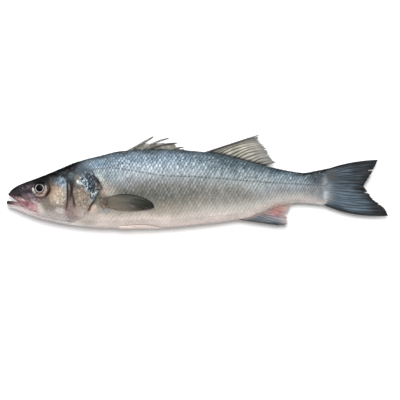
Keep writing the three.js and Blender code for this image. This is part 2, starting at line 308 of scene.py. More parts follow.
def skin(along, turn, lift=0.0, smooth=False):
    """Points of the skin at places along the fish and turns round it, lifted off it by millimetres.
    Turn 0 is the left flank, and a quarter turn is the back."""
    along, turn = np.broadcast_arrays(along, turn)
    low, high = belly(along), back(along)
    level = low + (high - low) * thickest(along)
    up, out = np.sin(turn), np.cos(turn)
    reach = np.where(up > 0, high - level, level - low)
    above = level + reach * np.sign(up) * np.abs(up) ** FULLNESS
    proud = 0 if smooth else relief(along, above)
    across = HALF_WIDTH * girth(along) * np.abs(out) ** FULLNESS + proud * np.abs(out)
    height = middle(along) + np.sign(out) * across + lift * out
    above = above + lift * up * MM / PERCENT
    return np.stack([along, above, np.maximum(height, 0)], axis=-1)


def flank(along, above):
    """Half the fish's thickness without its plates and creases, in millimetres, on its flank."""
    low = belly(along)
    level = low + (back(along) - low) * thickest(along)
    reach = np.where(above > level, back(along) - level, level - low)
    up = np.minimum(np.abs((above - level) / reach), 1) ** (1 / FULLNESS)
    return HALF_WIDTH * girth(along) * np.sqrt(1 - up * up) ** FULLNESS


def in_metres(points):
    """Percent along, percent above the axis and millimetres up, as places in the frame."""
    return points * (PERCENT, PERCENT, MM) + (NOSE, AXIS, 0)


def corners(piece):
    """Every corner of a piece, in metres."""
    held = np.empty(len(piece.data.vertices) * 3)
    piece.data.vertices.foreach_get("co", held)
    return held.reshape(-1, 3)


def fish_corners(piece):
    """Every corner of a piece, in percent along the fish and above its axis."""
    x, y, _ = corners(piece).T
    return (x - NOSE) / PERCENT, (y - AXIS) / PERCENT


def sheet(name, across, along):
    """A flat grid to be shaped: its piece, and how far across and along it each corner is, 0 to 1."""
    bpy.ops.object.select_all(action="DESELECT")
    bpy.ops.mesh.primitive_grid_add(x_subdivisions=across, y_subdivisions=along, size=1)
    piece = bpy.context.object
    piece.name = name
    return piece, *(corners(piece)[:, :2].T + 0.5)


def shape(piece, points):
    """Moves every corner of a piece to its place, in metres."""
    piece.data.vertices.foreach_set("co", np.asarray(points, np.float32).ravel())
    piece.data.update()


def choose(piece):
    """Makes a piece the only one selected."""
    bpy.ops.object.select_all(action="DESELECT")
    piece.select_set(True)
    bpy.context.view_layer.objects.active = piece


def close_up(piece, gap=0.02 * MM):
    """Joins corners that meet and turns the faces outwards."""
    choose(piece)
    bpy.ops.object.mode_set(mode="EDIT")
    bpy.ops.mesh.select_all(action="SELECT")
    bpy.ops.mesh.remove_doubles(threshold=gap)
    bpy.ops.mesh.dissolve_degenerate(threshold=gap / 10)
    bpy.ops.mesh.normals_make_consistent(inside=False)
    bpy.ops.object.mode_set(mode="OBJECT")


def smooth(piece, degrees):
    choose(piece)
    bpy.ops.object.shade_smooth_by_angle(angle=math.radians(degrees))


def tag(piece, **marks):
    """Stores numbers at every corner, for the material to read."""
    for name, values in marks.items():
        held = piece.data.attributes.new(name, "FLOAT", "POINT")
        held.data.foreach_set("value", np.full(len(piece.data.vertices), values, np.float32))


def share_up(along, above):
    """0 on the belly's edge, 1 on the back's."""
    return np.clip((above - belly(along)) / (back(along) - belly(along)), 0, 1)


def wear(piece, material):
    """Dresses a finished piece, and ties it to the fish's solid."""
    piece.data.materials.append(material)
    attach(piece, "root")
    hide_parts("sea_bass")


def carve(piece, cutter):
    """Cuts one piece's form out of another and throws the cutter away."""
    choose(piece)
    cut = piece.modifiers.new("cut", "BOOLEAN")
    cut.operation = "DIFFERENCE"
    cut.solver = "EXACT"
    cut.object = cutter
    bpy.ops.object.modifier_apply(modifier=cut.name)
    bpy.data.objects.remove(cutter)


# The skin is a grid round the fish. Its rings are bent to follow the gill cover's hind edge.
AROUND = 200
RINGS = 210
BENT_RING = 22
BEND_REACH = 9
body, u, v = sheet("body", AROUND, RINGS)
station = outline([(0, 0), (0.03, 0.8), (0.08, 3), (0.6, 27), (1, BODY_END)])(v)
turn = u * 2 * math.pi
edge_shift = cover_edge(skin(np.full_like(turn, BENT_RING), turn, smooth=True)[:, 1]) - BENT_RING
pull = np.maximum(1 - np.abs(station - BENT_RING) / BEND_REACH, 0)
shape(body, in_metres(skin(station + edge_shift * pull, turn)))
close_up(body)

# The mouth: a wedge cut out between the jaws, and a rounded pocket behind it.
GAPE = [(-1.5, -3.1), (2.9, -3.05), (0.5, -1.1), (-1.5, -0.9)]
POCKET = (2.6, -3)
POCKET_REACH = (3.4, 1.1, 1.5)
POCKET_TILT = -0.12
gape = sheet("gape", 1, 1)[0]
bpy.ops.object.mode_set(mode="EDIT")
bpy.ops.mesh.select_all(action="SELECT")
bpy.ops.mesh.extrude_region_move(TRANSFORM_OT_translate={"value": (0, 0, 1)})
bpy.ops.object.mode_set(mode="OBJECT")
u, v, up = (corners(gape) + (0.5, 0.5, 0)).T
weight = np.stack([(1 - u) * (1 - v), u * (1 - v), u * v, (1 - u) * v], axis=-1)
shape(gape, in_metres(np.column_stack([weight @ GAPE, up * 2 * HALF_WIDTH])))
close_up(gape)
bpy.ops.mesh.primitive_uv_sphere_add(segments=40, ring_count=24, radius=1)
pocket = bpy.context.object
pocket.scale = [reach * PERCENT for reach in POCKET_REACH]
pocket.rotation_euler = (0, 0, POCKET_TILT)
pocket.location = in_metres(np.array([*POCKET, middle(POCKET[0])]))
bpy.ops.object.transform_apply(location=True, rotation=True, scale=True)


def reckon(operation, a, b=0.0):
    """One arithmetic step on numbers or links."""
    return add("Math", {0: a, 1: b}, operation=operation).outputs[0]


def plus(a, b):
    return reckon("ADD", a, b)


def minus(a, b):
    return reckon("SUBTRACT", a, b)


def swing(value, size=1.0):
    """Makes a noise of 0 to 1 swing round zero."""
    return times(minus(value, 0.5), size)


def vector(operation, a, b=(0, 0, 0)):
    """One arithmetic step on places."""
    single = operation in ("LENGTH", "DOT_PRODUCT")
    return add("VectorMath", {0: a, 1: b}, operation=operation).outputs["Value" if single else "Vector"]


def along_of(place):
    return add("SeparateXYZ", {0: place}).outputs["X"]


def blend(factor, a, b, mode="MIX"):
    """Mixes two colours, each a link or a hex colour."""
    return add(
        "Mix", {0: factor, 6: a, 7: b}, data_type="RGBA", blend_type=mode, clamp_result=False
    ).outputs[2]


def read(place, *names):
    """What tag stored under a name, or a list of it for several names."""
    found = [add("Attribute", tree=place.id_data, attribute_name=name).outputs["Fac"] for name in names]
    return found if len(names) > 1 else found[0]


def new_group(name, inputs, outputs):
    """An empty shader group with named sockets: its tree, what it is given and what it puts out."""
    group = bpy.data.node_groups.new(name, "ShaderNodeTree")
    for way, sockets in (("INPUT", inputs), ("OUTPUT", outputs)):
        for socket, kind in sockets.items():
            group.interface.new_socket(socket, in_out=way, socket_type="NodeSocket" + kind)
    return group, group.nodes.new("NodeGroupInput").outputs, group.nodes.new("NodeGroupOutput").inputs


# One soft-edged oval mark. Its place and size are in percent of the fish's length.
mark_group, given, result = new_group("oval_mark", {
    "Place": "Vector", "Centre": "Vector", "Reach": "Vector", "Turn": "Float", "Softness": "Float",
    "Wobble": "Float",
}, {"Mask": "Float"})
offset = vector("SUBTRACT", given["Place"], given["Centre"])
turned = add("VectorRotate", {"Vector": offset, "Angle": given["Turn"]}, rotation_type="Z_AXIS").outputs[0]
flat = vector("MULTIPLY", vector("DIVIDE", turned, given["Reach"]), (1, 1, 0))
far = plus(vector("LENGTH", flat), given["Wobble"])
inner, outer = minus(1.0, given["Softness"]), plus(1.0, given["Softness"])
feed(result["Mask"], spread(far, inner, outer, 1.0, 0.0))


def oval(place, centre, reach, angle, softness, strength, wobble):
    """How strongly one oval mark covers a place."""
    mark = add("Group", {
        "Place": place, "Centre": (*centre, 0), "Reach": (*reach, 1), "Turn": -math.radians(angle),
        "Softness": softness, "Wobble": wobble,
    }, node_tree=mark_group)
    return times(mark.outputs["Mask"], strength)


def painted(tint, marks, place, uneven, mode="MIX"):
    """A colour with oval marks over it. An uneven value makes their edges ragged. Each gives its shade,
    centre, reach along and up, turn in degrees, softness, strength and raggedness."""
    for shade, centre, reach, angle, softness, strength, ragged in marks:
        mask = oval(place, centre, reach, angle, softness, strength, times(uneven, ragged))
        tint = blend(mask, tint, shade, mode)
    return tint


# Colours of the skin, belly to back, on the head, the fore trunk, the middle and the tail stalk.
HEAD_BAND = [
    (0.02, "f6efec"), (0.06, "e4d9d5"), (0.1, "c9bfba"), (0.2, "b5aaa4"), (0.3, "a09189"), (0.42, "9e8f85"),
    (0.52, "aa9c92"), (0.62, "827b79"), (0.7, "4e575d"), (0.8, "44494f"), (0.88, "242426"),
    (0.97, "1a1a1c"),
]
FORE_BAND = [
    (0.03, "e8d8d1"), (0.12, "cabdb3"), (0.2, "a59c92"), (0.3, "888276"), (0.42, "757670"), (0.5, "898882"),
    (0.6, "a4a8aa"), (0.7, "c7d1d6"), (0.78, "c2d0da"), (0.86, "a3b6c5"), (0.93, "95a8b8"),
    (0.98, "5d6a71"),
]
MIDDLE_BAND = [
    (0.03, "e5d6d0"), (0.12, "c9c0b8"), (0.2, "b4b1a9"), (0.3, "9b9891"), (0.42, "94928c"), (0.5, "9e9d97"),
    (0.6, "aab0af"), (0.7, "adb9bf"), (0.8, "808f95"), (0.88, "677982"), (0.94, "677982"), (0.98, "5e6e74"),
]
STALK_BAND = [
    (0.03, "cfc5c0"), (0.12, "b7ada7"), (0.22, "b2aeaa"), (0.32, "a7a6a4"), (0.42, "9d9fa3"),
    (0.55, "aab1b6"), (0.68, "a3b0b6"), (0.78, "90a1a9"), (0.88, "6e808a"), (0.95, "5a6870"),
    (0.99, "363f44"),
]
# Marks on the skin: shade, centre, reach along and up, turn in degrees, softness, strength, raggedness.
MARKS = [
    ("18171a", (9, 3.4), (10.5, 1.35), 22.5, 0.35, 1, 0.4),
    ("1f1d20", (3.6, 0.75), (3.6, 1.05), 24, 0.4, 1, 0.4),
    ("322e33", (4.7, -0.1), (3.3, 1.3), 14, 0.5, 1, 0.7),
    ("302b30", (5.6, 1.1), (1.5, 0.7), 25, 0.5, 0.9, 0.7),
    ("43383c", (2.1, -0.85), (1.5, 0.6), -25, 0.4, 1, 0.5),
    ("332c2f", (3.9, -1.35), (1.1, 0.45), -30, 0.4, 0.95, 0.5),
    ("413b40", (6.2, 0.3), (1.2, 1.3), 0, 0.5, 0.8, 0.7),
    ("6a5e65", (5.9, -1.6), (1.8, 0.8), -10, 0.5, 0.9, 1),
    ("9c8e98", (6.35, -1.45), (0.8, 0.35), -35, 0.5, 0.8, 1.2),
    ("b09a9d", (8.1, -2.6), (1.5, 1.1), -25, 0.5, 0.9, 1),
    ("97797f", (5.8, -2.4), (1.7, 0.6), -32, 0.6, 0.85, 0.7),
    ("a4797e", (4.1, -3.5), (1.9, 0.6), -25, 0.5, 0.9, 0.8),
    ("b58c90", (6.5, -4.7), (2.2, 1.5), -25, 0.6, 0.85, 0.5),
    ("c7aa9b", (9.6, -1.75), (1.5, 0.55), 22, 0.6, 0.75, 0.6),
    ("7a6a60", (10.1, -2.35), (1.2, 0.4), 15, 0.6, 0.6, 0.6),
    ("232323", (8.9, 2.3), (2.8, 0.8), 12, 0.4, 1, 0.4),
    ("2c2a29", (11.2, 2.4), (0.75, 1.6), 0, 0.5, 0.95, 0.5),
    ("4a4543", (11.8, 1.6), (0.8, 1.4), 0, 0.6, 0.8, 0.7),
    # A painted highlight along a skin fold above the jaw.
    ("dcc9c8", (7.7, -3.2), (1.5, 0.32), -30, 0.5, 0.9, 0.8),
    ("9b8f87", (9.8, -3.1), (1.5, 0.8), 0, 0.6, 0.7, 0.8),
    ("efe3dd", (9, -5), (0.9, 1.4), 15, 0.6, 0.7, 0.6),
    ("5f4f41", (12, 0.6), (0.8, 1.2), -10, 0.6, 0.85, 0.8),
    ("a07350", (12.6, -0.1), (0.75, 1), -10, 0.6, 0.85, 1.4),
    ("8f6a4a", (12.1, -0.6), (0.6, 1.3), -12, 0.7, 0.7, 1.2),
    ("d9c3ab", (13.3, -1), (1.1, 1.2), 10, 0.6, 0.8, 1.2),
    ("cfc6b7", (14.1, -1.3), (1.5, 1.9), 0, 0.5, 0.8, 1.2),
    ("8a8276", (11.6, -4.3), (2.1, 1), -8, 0.5, 0.75, 1),
    ("d5ccc9", (14.3, -5.4), (1.5, 0.7), -10, 0.4, 0.85, 0.8),
    ("faeaeb", (5.4, -6), (5.2, 0.9), -20, 0.4, 0.95, 0.4),
    ("ccc8cb", (15.55, -0.8), (0.3, 2.4), 0, 0.5, 0.9, 0.5),
    ("3d494d", (16.8, 2.9), (1.3, 1.2), 0, 0.4, 0.95, 0.5),
    ("2f3438", (14.6, 4.1), (1.4, 0.6), 15, 0.5, 0.8, 0.6),
    ("6a787b", (17.1, 3.7), (0.7, 0.8), 0, 0.5, 0.75, 0.9),
    ("b4b8bc", (16.48, 0.9), (0.2, 0.8), 0, 0.4, 0.85, 0.4),
    ("6b5c56", (16.6, -1.6), (0.35, 1.7), 0, 0.5, 0.85, 0.6),
    ("94807c", (17.3, -6), (1.9, 2.3), 4, 0.5, 0.8, 0.6),
    ("8b746f", (15.9, -4.6), (0.6, 1.2), 8, 0.5, 0.6, 0.6),
    ("9b9187", (19.6, -1.8), (2, 2.9), 0, 0.4, 0.9, 0.5),
    ("7a6b62", (18.2, -2.2), (0.6, 2.6), -4, 0.5, 0.8, 0.8),
    ("4c524e", (17.8, 1.8), (0.5, 1.5), 0, 0.5, 0.9, 0.6),
    ("827a70", (19, 3.2), (1.3, 0.7), 15, 0.5, 0.85, 0.9),
    # A painted glint on the gill cover.
    ("dfe3e4", (19.5, 2.1), (1, 0.55), -20, 0.5, 0.9, 1.8),
    ("2e3a50", (21.8, 3.1), (1.4, 1.1), -25, 0.3, 0.95, 0.6),
    ("1e2833", (22.2, 1.2), (1.3, 1), -30, 0.4, 0.95, 0.6),
    ("232c39", (22.7, -0.3), (0.7, 0.5), 0, 0.5, 0.9, 0.6),
    ("b4c3ca", (23.1, -1.5), (0.5, 1.4), -28, 0.4, 0.9, 0.8),
    ("a5a9a7", (22.2, -2.5), (0.8, 1), -30, 0.5, 0.8, 1),
    ("3f3833", (23.7, 2.5), (2.3, 0.5), -55, 0.4, 0.95, 0.4),
    ("5d5348", (24.15, 1.2), (0.5, 0.8), -30, 0.5, 0.9, 0.6),
    ("3a322e", (24.1, 0.15), (0.75, 0.2), 5, 0.4, 0.9, 0.3),
    ("c3cfce", (24.5, 4.2), (1.2, 0.9), -40, 0.5, 0.85, 0.7),
    ("d5d8d4", (25.1, 3), (0.8, 0.7), -30, 0.5, 0.8, 0.7),
    ("c1b8b0", (26, 1.2), (1.2, 1.2), 0, 0.6, 0.8, 0.6),
    ("bfa694", (25.7, -0.6), (1.1, 0.9), 0, 0.7, 0.65, 1.2),
    ("d8c8bb", (26.4, -0.7), (0.5, 0.8), 20, 0.5, 0.7, 1.2),
    ("9c8273", (25.1, -1.3), (0.4, 0.6), 0, 0.6, 0.6, 1),
    ("6f5f55", (25.2, -2.2), (0.8, 0.4), -10, 0.5, 0.8, 0.8),
    ("dcc8b6", (22.9, -4.3), (0.7, 0.5), 20, 0.5, 0.8, 1.2),
    ("cfb9aa", (22.6, -5.3), (1.3, 0.8), 15, 0.6, 0.7, 0.9),
    ("9a7d72", (21.5, -4.9), (0.5, 0.5), 40, 0.6, 0.7, 0.8),
    ("8d9193", (26.2, -5.6), (1.3, 0.7), 0, 0.6, 0.7, 0.6),
    ("b7aaa1", (21.3, -7.6), (2.8, 1.5), 5, 0.6, 0.8, 0.6),
    ("c99c92", (71, -4.4), (2.6, 0.7), 12, 0.6, 0.6, 0.7),
    ("4b5861", (20.6, 5.2), (1.9, 1.15), 22, 0.5, 0.85, 0.7),
    ("3c4850", (22.3, 4.2), (0.9, 1.1), -40, 0.5, 0.85, 0.8),
    ("a9c4d6", (24.2, 6.9), (2.8, 0.9), 15, 0.6, 0.75, 0.8),
    ("8f9ea6", (27.5, 3.8), (2.2, 1.2), 0, 0.7, 0.75, 0.7),
    ("c4bcb2", (27.7, -0.7), (1.4, 1.1), 0, 0.7, 0.85, 0.8),
    ("c2cac9", (65, 1.8), (3.6, 2.4), -12, 0.9, 0.55, 0.5),
    ("444b51", (81.6, 3.4), (3.2, 2.5), 0, 0.6, 0.8, 0.6),
    ("1b2124", (81.2, 5), (5, 0.75), 12, 0.5, 0.9, 0.3),
    ("84898b", (81.3, -0.6), (3.2, 1.7), 0, 0.7, 0.6, 0.8),
    ("7f8488", (82.3, -1.5), (1.2, 1.2), 0, 0.7, 0.7, 0.8),
    ("cbccc8", (80.7, -4), (3.2, 0.8), 0, 0.6, 0.8, 0.4),
    # The next two are painted glints at the end of the tail stalk.
    ("a9adb3", (83.5, 1.5), (0.65, 2.1), 4, 0.8, 0.8, 1),
    ("bfc8d1", (83.7, -1.2), (0.7, 1), 0, 0.6, 0.9, 0.7),
]
# Fine marks that lie over the glitter and the freckles, listed as the marks above.
FINE_MARKS = [
    ("bd9270", (12.7, -0.6), (1.6, 1.9), 0, 0.9, 0.3, 0.8),
    # A painted shadow beside the fold behind the eye.
    ("6f5c4c", (11.75, 0.1), (0.5, 1.1), 0, 0.8, 0.4, 0.8),
    ("5d5b50", (18.8, 0.75), (0.9, 0.45), -20, 0.5, 0.8, 0.8),
    # The next two are painted glints on the gill cover.
    ("f2f1ec", (18.75, 2.15), (0.36, 0.4), 0, 0.4, 0.95, 0.5),
    ("dde3e4", (19.7, 1.75), (0.6, 0.3), -25, 0.5, 0.8, 1.2),
    ("353b48", (22.7, 1.2), (0.75, 1.6), -22, 0.45, 0.8, 1.1),
    # The next three are painted shade: the grooves between the cheek plates, and the fold behind the eye.
    ("3a302d", (17.15, -0.2), (0.32, 2.1), -9, 0.5, 0.85, 0.4),
    ("3a302d", (16.1, -0.7), (0.2, 2.3), 0, 0.5, 0.8, 0.3),
    ("3a2213", (10.95, -0.75), (0.35, 1.2), -35, 0.5, 0.9, 0.5),
    # Painted shade in the gill slit.
    ("4a372e", (22.85, -3.3), (0.18, 0.8), -33, 0.6, 0.6, 0.4),
    ("8a6458", (21.8, -4.9), (0.35, 0.6), -30, 0.6, 0.7, 0.6),
]

# The skin's colour with its painted glints, sheen and shade, from a place, how far up the flank it is and
# how far from the lateral line.
colour_group, given, result = new_group("fish_colour", {
    "Place": "Vector", "Height": "Float", "Line": "Float",
}, {"Colour": "Color", "Silver": "Float"})
place, height = given["Place"], given["Height"]
along = along_of(place)
fleck = swing(noise(place, 1.1, 3.0, 0.6))
level = plus(height, swing(noise(place, 0.22, 3.0), 0.14))
tint = ramp(level, HEAD_BAND)
for band, start, end in ((FORE_BAND, 17, 24), (MIDDLE_BAND, 40, 58), (STALK_BAND, 62, 72)):
    tint = blend(spread(along, start, end), tint, ramp(level, band))
tint = painted(tint, MARKS, place, fleck)


def chips(place, scale):
    """Three random values for each small cell of a surface."""
    cell = add("TexVoronoi", {"Vector": place, "Scale": scale})
    return add("SeparateColor", {0: cell.outputs["Color"]}).outputs


# A painted sheen on the cheek's plate, then the freckles, specks and glitter of the bony plates.
upright = noise(vector("MULTIPLY", place, (2.6, 0.7, 1)), 1.0, 2.0)
lit_side = plus(upright, spread(along, 12.6, 15.4, -0.15, 0.13))
cheek_shine = ramp(lit_side, [(0.34, "4e5b62"), (0.47, "73858f"), (0.57, "94a7b6"), (0.68, "bccbd6")])
tint = painted(tint, [
    (cheek_shine, (14.1, 1.75), (1.85, 1.65), -12, 0.22, 0.9, 1.8),
], place, swing(upright))
chip = chips(place, 2.7)
# The glitter's bright cells are painted glints of small silver scales.
glitter = ramp(chip[0], [
    (0.0, "161e29"), (0.3, "202b38"), (0.42, "41525e"), (0.55, "8aa4b0"), (0.7, "c9dde4"), (0.9, "f4fafb"),
], "CONSTANT")
freckle = ramp(chip[1], [
    (0.0, "7f766b"), (0.25, "a1968a"), (0.5, "b6aa9c"), (0.75, "cdc1b2"), (0.92, "efe4d6"),
])
dim_freckle = blend(1.0, freckle, "d0c8c1", "MULTIPLY")
speck = ramp(chip[2], [(0.0, "463a40"), (0.35, "6d5e66"), (0.6, "9b8a92"), (0.85, "d8c9ce")], "CONSTANT")
tint = painted(tint, [
    (freckle, (13.7, -1.6), (2.0, 2.7), 0, 0.4, 0.72, 1.4),
    (dim_freckle, (20.0, -1.8), (2.1, 2.9), 0, 0.4, 0.8, 1.4),
    (speck, (7.7, -2.05), (1.0, 0.6), -30, 0.5, 0.64, 1.4),
    (speck, (5.2, 0.6), (2.6, 1.0), 20, 0.5, 0.2, 1.4),
    (glitter, (20.9, 1.5), (2.3, 1.15), -48, 0.3, 0.8, 1.4),
    (glitter, (22.8, -1.4), (1.1, 1.0), -40, 0.3, 0.64, 1.4),
    (glitter, (14.3, 2.2), (1.6, 1.1), 0, 0.3, 0.16, 1.4),
    *FINE_MARKS,
], place, fleck)

# Painted glints on the back behind the head. They fade towards the tail and on the very ridge.
near_back = times(spread(height, 0.62, 0.84), spread(along, 19, 25))
near_back = times(near_back, spread(along, 66, 40, 0.18, 0.9))
near_back = times(near_back, spread(height, 0.91, 0.98, 1.0, 0.3))
chip = chips(place, 3.4)
lustre = ramp(chip[0], [(0.0, "97a1a9"), (0.4, "cdd3d8"), (0.7, "f0f3f5"), (0.88, "ffffff")])
sparkled = blend(1.0, tint, lustre, "MULTIPLY")
sparkled = blend(spread(chip[0], 0.86, 0.98, 0.0, 0.6), sparkled, "dff0f7")
tint = blend(times(near_back, 0.8), tint, sparkled)
on_line = spread(reckon("ABSOLUTE", given["Line"]), 0.1, 0.4, 0.45, 0.0)
feed(result["Colour"], blend(on_line, tint, "4a5256"))
feed(result["Silver"], spread(height, 0.15, 0.5))


def fish_finish(name, coat, coat_roughness, roughness=0.5, **sockets):
    """A finish under a wet clear coat. Its place is in percent, along the fish and above its axis."""
    material, shader, place = finish(
        name, Coat_Weight=coat, Coat_Roughness=coat_roughness, Roughness=roughness, **sockets
    )
    place = vector("MULTIPLY", vector("SUBTRACT", place, (NOSE, AXIS, 0)), (1 / PERCENT,) * 3)
    return material, shader, place


def fish_colour(place):
    """The skin's colour at a place, with its painted glints, sheen and shade, and how silvery it is."""
    height, line = read(place, "height", "line")
    coloured = add("Group", {"Place": place, "Height": height, "Line": line}, node_tree=colour_group)
    return coloured.outputs["Colour"], coloured.outputs["Silver"]


def surface(shader, tint, height, depth, strength=0.4):
    """Gives a shader its colour and its fine relief, whose depth is in millimetres."""
    feed(shader.inputs["Base Color"], tint)
    fine = add("Bump", {"Height": height, "Distance": depth * MM, "Strength": strength})
    feed(shader.inputs["Normal"], fine.outputs["Normal"])


skin_finish, shader, place = fish_finish("wet_skin", 0.12, 0.12, Specular_IOR_Level=0.2)
tint, silver = fish_colour(place)
mottle = noise(place, 2.2, 4.0)
tint = blend(0.5, tint, ramp(mottle, [(0.3, "8c8c8c"), (0.7, "ffffff")]), "MULTIPLY")
tint = blend(0.6, tint, ramp(noise(place, 4.5, 2.0), [(0.35, "a4a4a4"), (0.62, "ffffff")]), "MULTIPLY")
# Painted shade: the skin is darkened in the creases of the head.
tint = blend(times(read(place, "crease"), 0.94), tint, "271a17")
feed(shader.inputs["Roughness"], spread(mottle, 0.3, 0.7, 0.3, 0.5))
feed(shader.inputs["Metallic"], times(silver, 0.3))
pores = add("TexVoronoi", {"Vector": place, "Scale": 2.6}).outputs["Distance"]
surface(shader, tint, pores, 0.6, 0.5)

mouth_finish, shader, place = fish_finish("mouth_lining", 0.5, 0.1, 0.4)
flesh = noise(place, 1.4, 3.0)
surface(shader, ramp(flesh, [(0.3, "a8716c"), (0.5, "c79a92"), (0.7, "dfc4bc")]), flesh, 0.8, 0.6)

wear(body, skin_finish)
body.data.materials.append(mouth_finish)
for cutter in (gape, pocket):
    cutter.data.materials.append(skin_finish)
    cutter.data.materials.append(mouth_finish)
    cutter.data.polygons.foreach_set("material_index", [1] * len(cutter.data.polygons))
    carve(body, cutter)
along, above = fish_corners(body)
tag(body, height=share_up(along, above), crease=creases(along, above), line=NO_LINE)
smooth(body, 50)

# ---- Lips and jaw bones ---------------------------------------------------------------------------------
# Rolled lips of soft skin round the parted jaws, and on each side a thin flat bone that slants down and
# back from the snout and covers the corner of the mouth.

LIP_GRID = (14, 60)
LIP_FLATNESS = 0.8
LIP_LIFT = 0.1
PLATE_GRID = (24, 60)
PLATE_SUNK = 0.6
PLATE_LOWEST = 0.3
STEPS_PER_RUN = 40
NUDGE = 0.01
SIDES = ((1, "left"), (-1, "right"))


def drawn_through(points):
    """A smooth line through the given points, as a function of the share of its length."""
    points = np.array(points, float)
    held = np.vstack([points[:1], points, points[-1:]])
    t = np.linspace(0, 1, STEPS_PER_RUN, endpoint=False)[:, None]
    runs = []
    for i in range(len(points) - 1):
        a, b, c, d = held[i:i + 4]
        runs.append(b + 0.5 * t * (c - a + t * (2 * a - 5 * b + 4 * c - d + t * (3 * (b - c) + d - a))))
    line = np.vstack([*runs, points[-1:]])
    gone = np.append(0, np.cumsum(np.linalg.norm(np.diff(line, axis=0), axis=1)))
    gone /= gone[-1]
    return lambda share: np.stack([np.interp(share, gone, column) for column in line.T], axis=-1)


def unit(vectors):
    return vectors / np.maximum(np.linalg.norm(vectors, axis=-1, keepdims=True), 1e-9)


def tube(name, centre, radius, around, along, flatness=1.0):
    """A closed tapered tube. Centre gives places in metres along it, and radius its size in millimetres."""
    piece, u, v = sheet(name, around, along)
    step = 0.5 / along
    ahead = unit(centre(np.minimum(v + step, 1)) - centre(np.maximum(v - step, 0)))
    beside = unit(np.cross(ahead, (0, 1, 0.01)))
    turn = u[:, None] * 2 * math.pi
    round_it = np.cos(turn) * beside * flatness + np.sin(turn) * np.cross(beside, ahead)
    shape(piece, centre(v) + radius(v)[:, None] * MM * round_it)
    tag(piece, out=v)
    close_up(piece)
    smooth(piece, 80)
    return piece


def round_snout(path, lift):
    """A line from one side of the jaw round the tip to the other. Its path is places and heights."""
    line = drawn_through(path)

    def centre(share):
        side = np.sign(share - 0.5)
        from_tip = np.abs(2 * share - 1)
        along, above = line(from_tip).T
        height = middle(along) + side * (flank(along, above) + lift * from_tip ** 0.5)
        return in_metres(np.stack([along, above, height], axis=-1))

    return centre


lip_finish, shader, place = fish_finish("lip_skin", 0.6, 0.12, 0.42)
flush = noise(place, 1.5, 3.0)
tint = ramp(flush, [(0.34, "573c3e"), (0.45, "7b595a"), (0.56, "9d7c7f"), (0.7, "bba3a4")])
dark_tip = spread(along_of(place), 0.4, 3.2, 0.97, 0.0)
surface(shader, blend(dark_tip, tint, "2a2326"), flush, 0.4, 0.5)

for name, path, radius in (
    ("upper_lip", [(0.62, -1.0), (0.9, -1.3), (2.3, -2.0), (4.7, -3.2)],
     [(0, 0.5), (0.2, 1.05), (0.5, 1.0), (0.8, 1.05), (1, 0.5)]),
    ("lower_lip", [(0.3, -3.2), (0.7, -3.24), (1.8, -3.38), (3.6, -3.85)],
     [(0, 0.4), (0.25, 1.5), (0.5, 1.6), (0.75, 1.5), (1, 0.4)]),
):
    wear(tube(name, round_snout(path, LIP_LIFT), outline(radius), *LIP_GRID, LIP_FLATNESS), lip_finish)


def laid_on(name, path, half_width, proud, side):
    """A smooth plate lying on the flank along a line, with rounded edges. Side is 1 for the left."""
    piece, u, v = sheet(name, *PLATE_GRID)
    line = drawn_through(path)
    ahead = unit(line(np.minimum(v + NUDGE, 1)) - line(np.maximum(v - NUDGE, 0)))
    turn = u * 2 * math.pi
    offset = np.cos(turn) * half_width(v)
    x, y = line(v).T + (-ahead[:, 1] * offset, ahead[:, 0] * offset)
    taper = np.minimum(half_width(v) / max(half_width(np.linspace(0, 1, 50))), 1) ** 0.5
    lift = np.where(np.sin(turn) > 0, proud, PLATE_SUNK) * np.sin(turn) * taper
    height = middle(x) + side * (flank(x, y) + lift)
    shape(piece, in_metres(np.stack([x, y, np.maximum(height, PLATE_LOWEST)], axis=-1)))
    tag(piece, out=v, across=np.cos(turn))
    close_up(piece)
    smooth(piece, 60)
    return piece


bone_finish, shader, place = fish_finish("jaw_bone_skin", 0.6, 0.12, 0.4)
out, across = read(place, "out", "across")
flush = noise(place, 1.2, 4.0)
tint = ramp(flush, [(0.34, "76535a"), (0.45, "946d70"), (0.58, "a67c7f"), (0.72, "c0a0a2")])
tint = blend(spread(across, 0.4, 0.95, 0.0, 0.7), tint, "674a4c")
tint = blend(spread(out, 0.72, 1.0, 0.0, 0.8), tint, "bb9b9b")
tint = painted(tint, [
    ("6b4149", (3.5, -2.6), (1.3, 0.55), -40, 0.5, 0.75, 1),
    ("6f464b", (5.0, -3.0), (1.5, 0.4), -32, 0.6, 0.8, 1),
    # A painted highlight along the front of the bone's upper edge.
    ("dfc3c9", (3.9, -2.15), (1.2, 0.2), -35, 0.5, 0.85, 1),
], place, swing(flush))
surface(shader, tint, flush, 0.5, 0.5)

BONE_LINE = [(2.3, -2.05), (4.5, -3.2), (7.9, -5.0)]
BONE_WIDTH = outline([(0, 0), (0.1, 0.35), (0.5, 0.75), (0.8, 1.05), (0.93, 0.8), (1, 0)])
BONE_THICKNESS = 0.8
for side, which in SIDES:
    wear(laid_on("jaw_bone_" + which, BONE_LINE, BONE_WIDTH, BONE_THICKNESS, side), bone_finish)

# ---- Eyes -----------------------------------------------------------------------------------------------
# Round wet eyeballs, each set in its socket on one side of the head, with a black pupil, a thin silver
# ring and a dark iris flecked with silver.

EYE_RADIUS = 8
EYE_BULGE = 4
PUPIL = (8.74, 0.5)

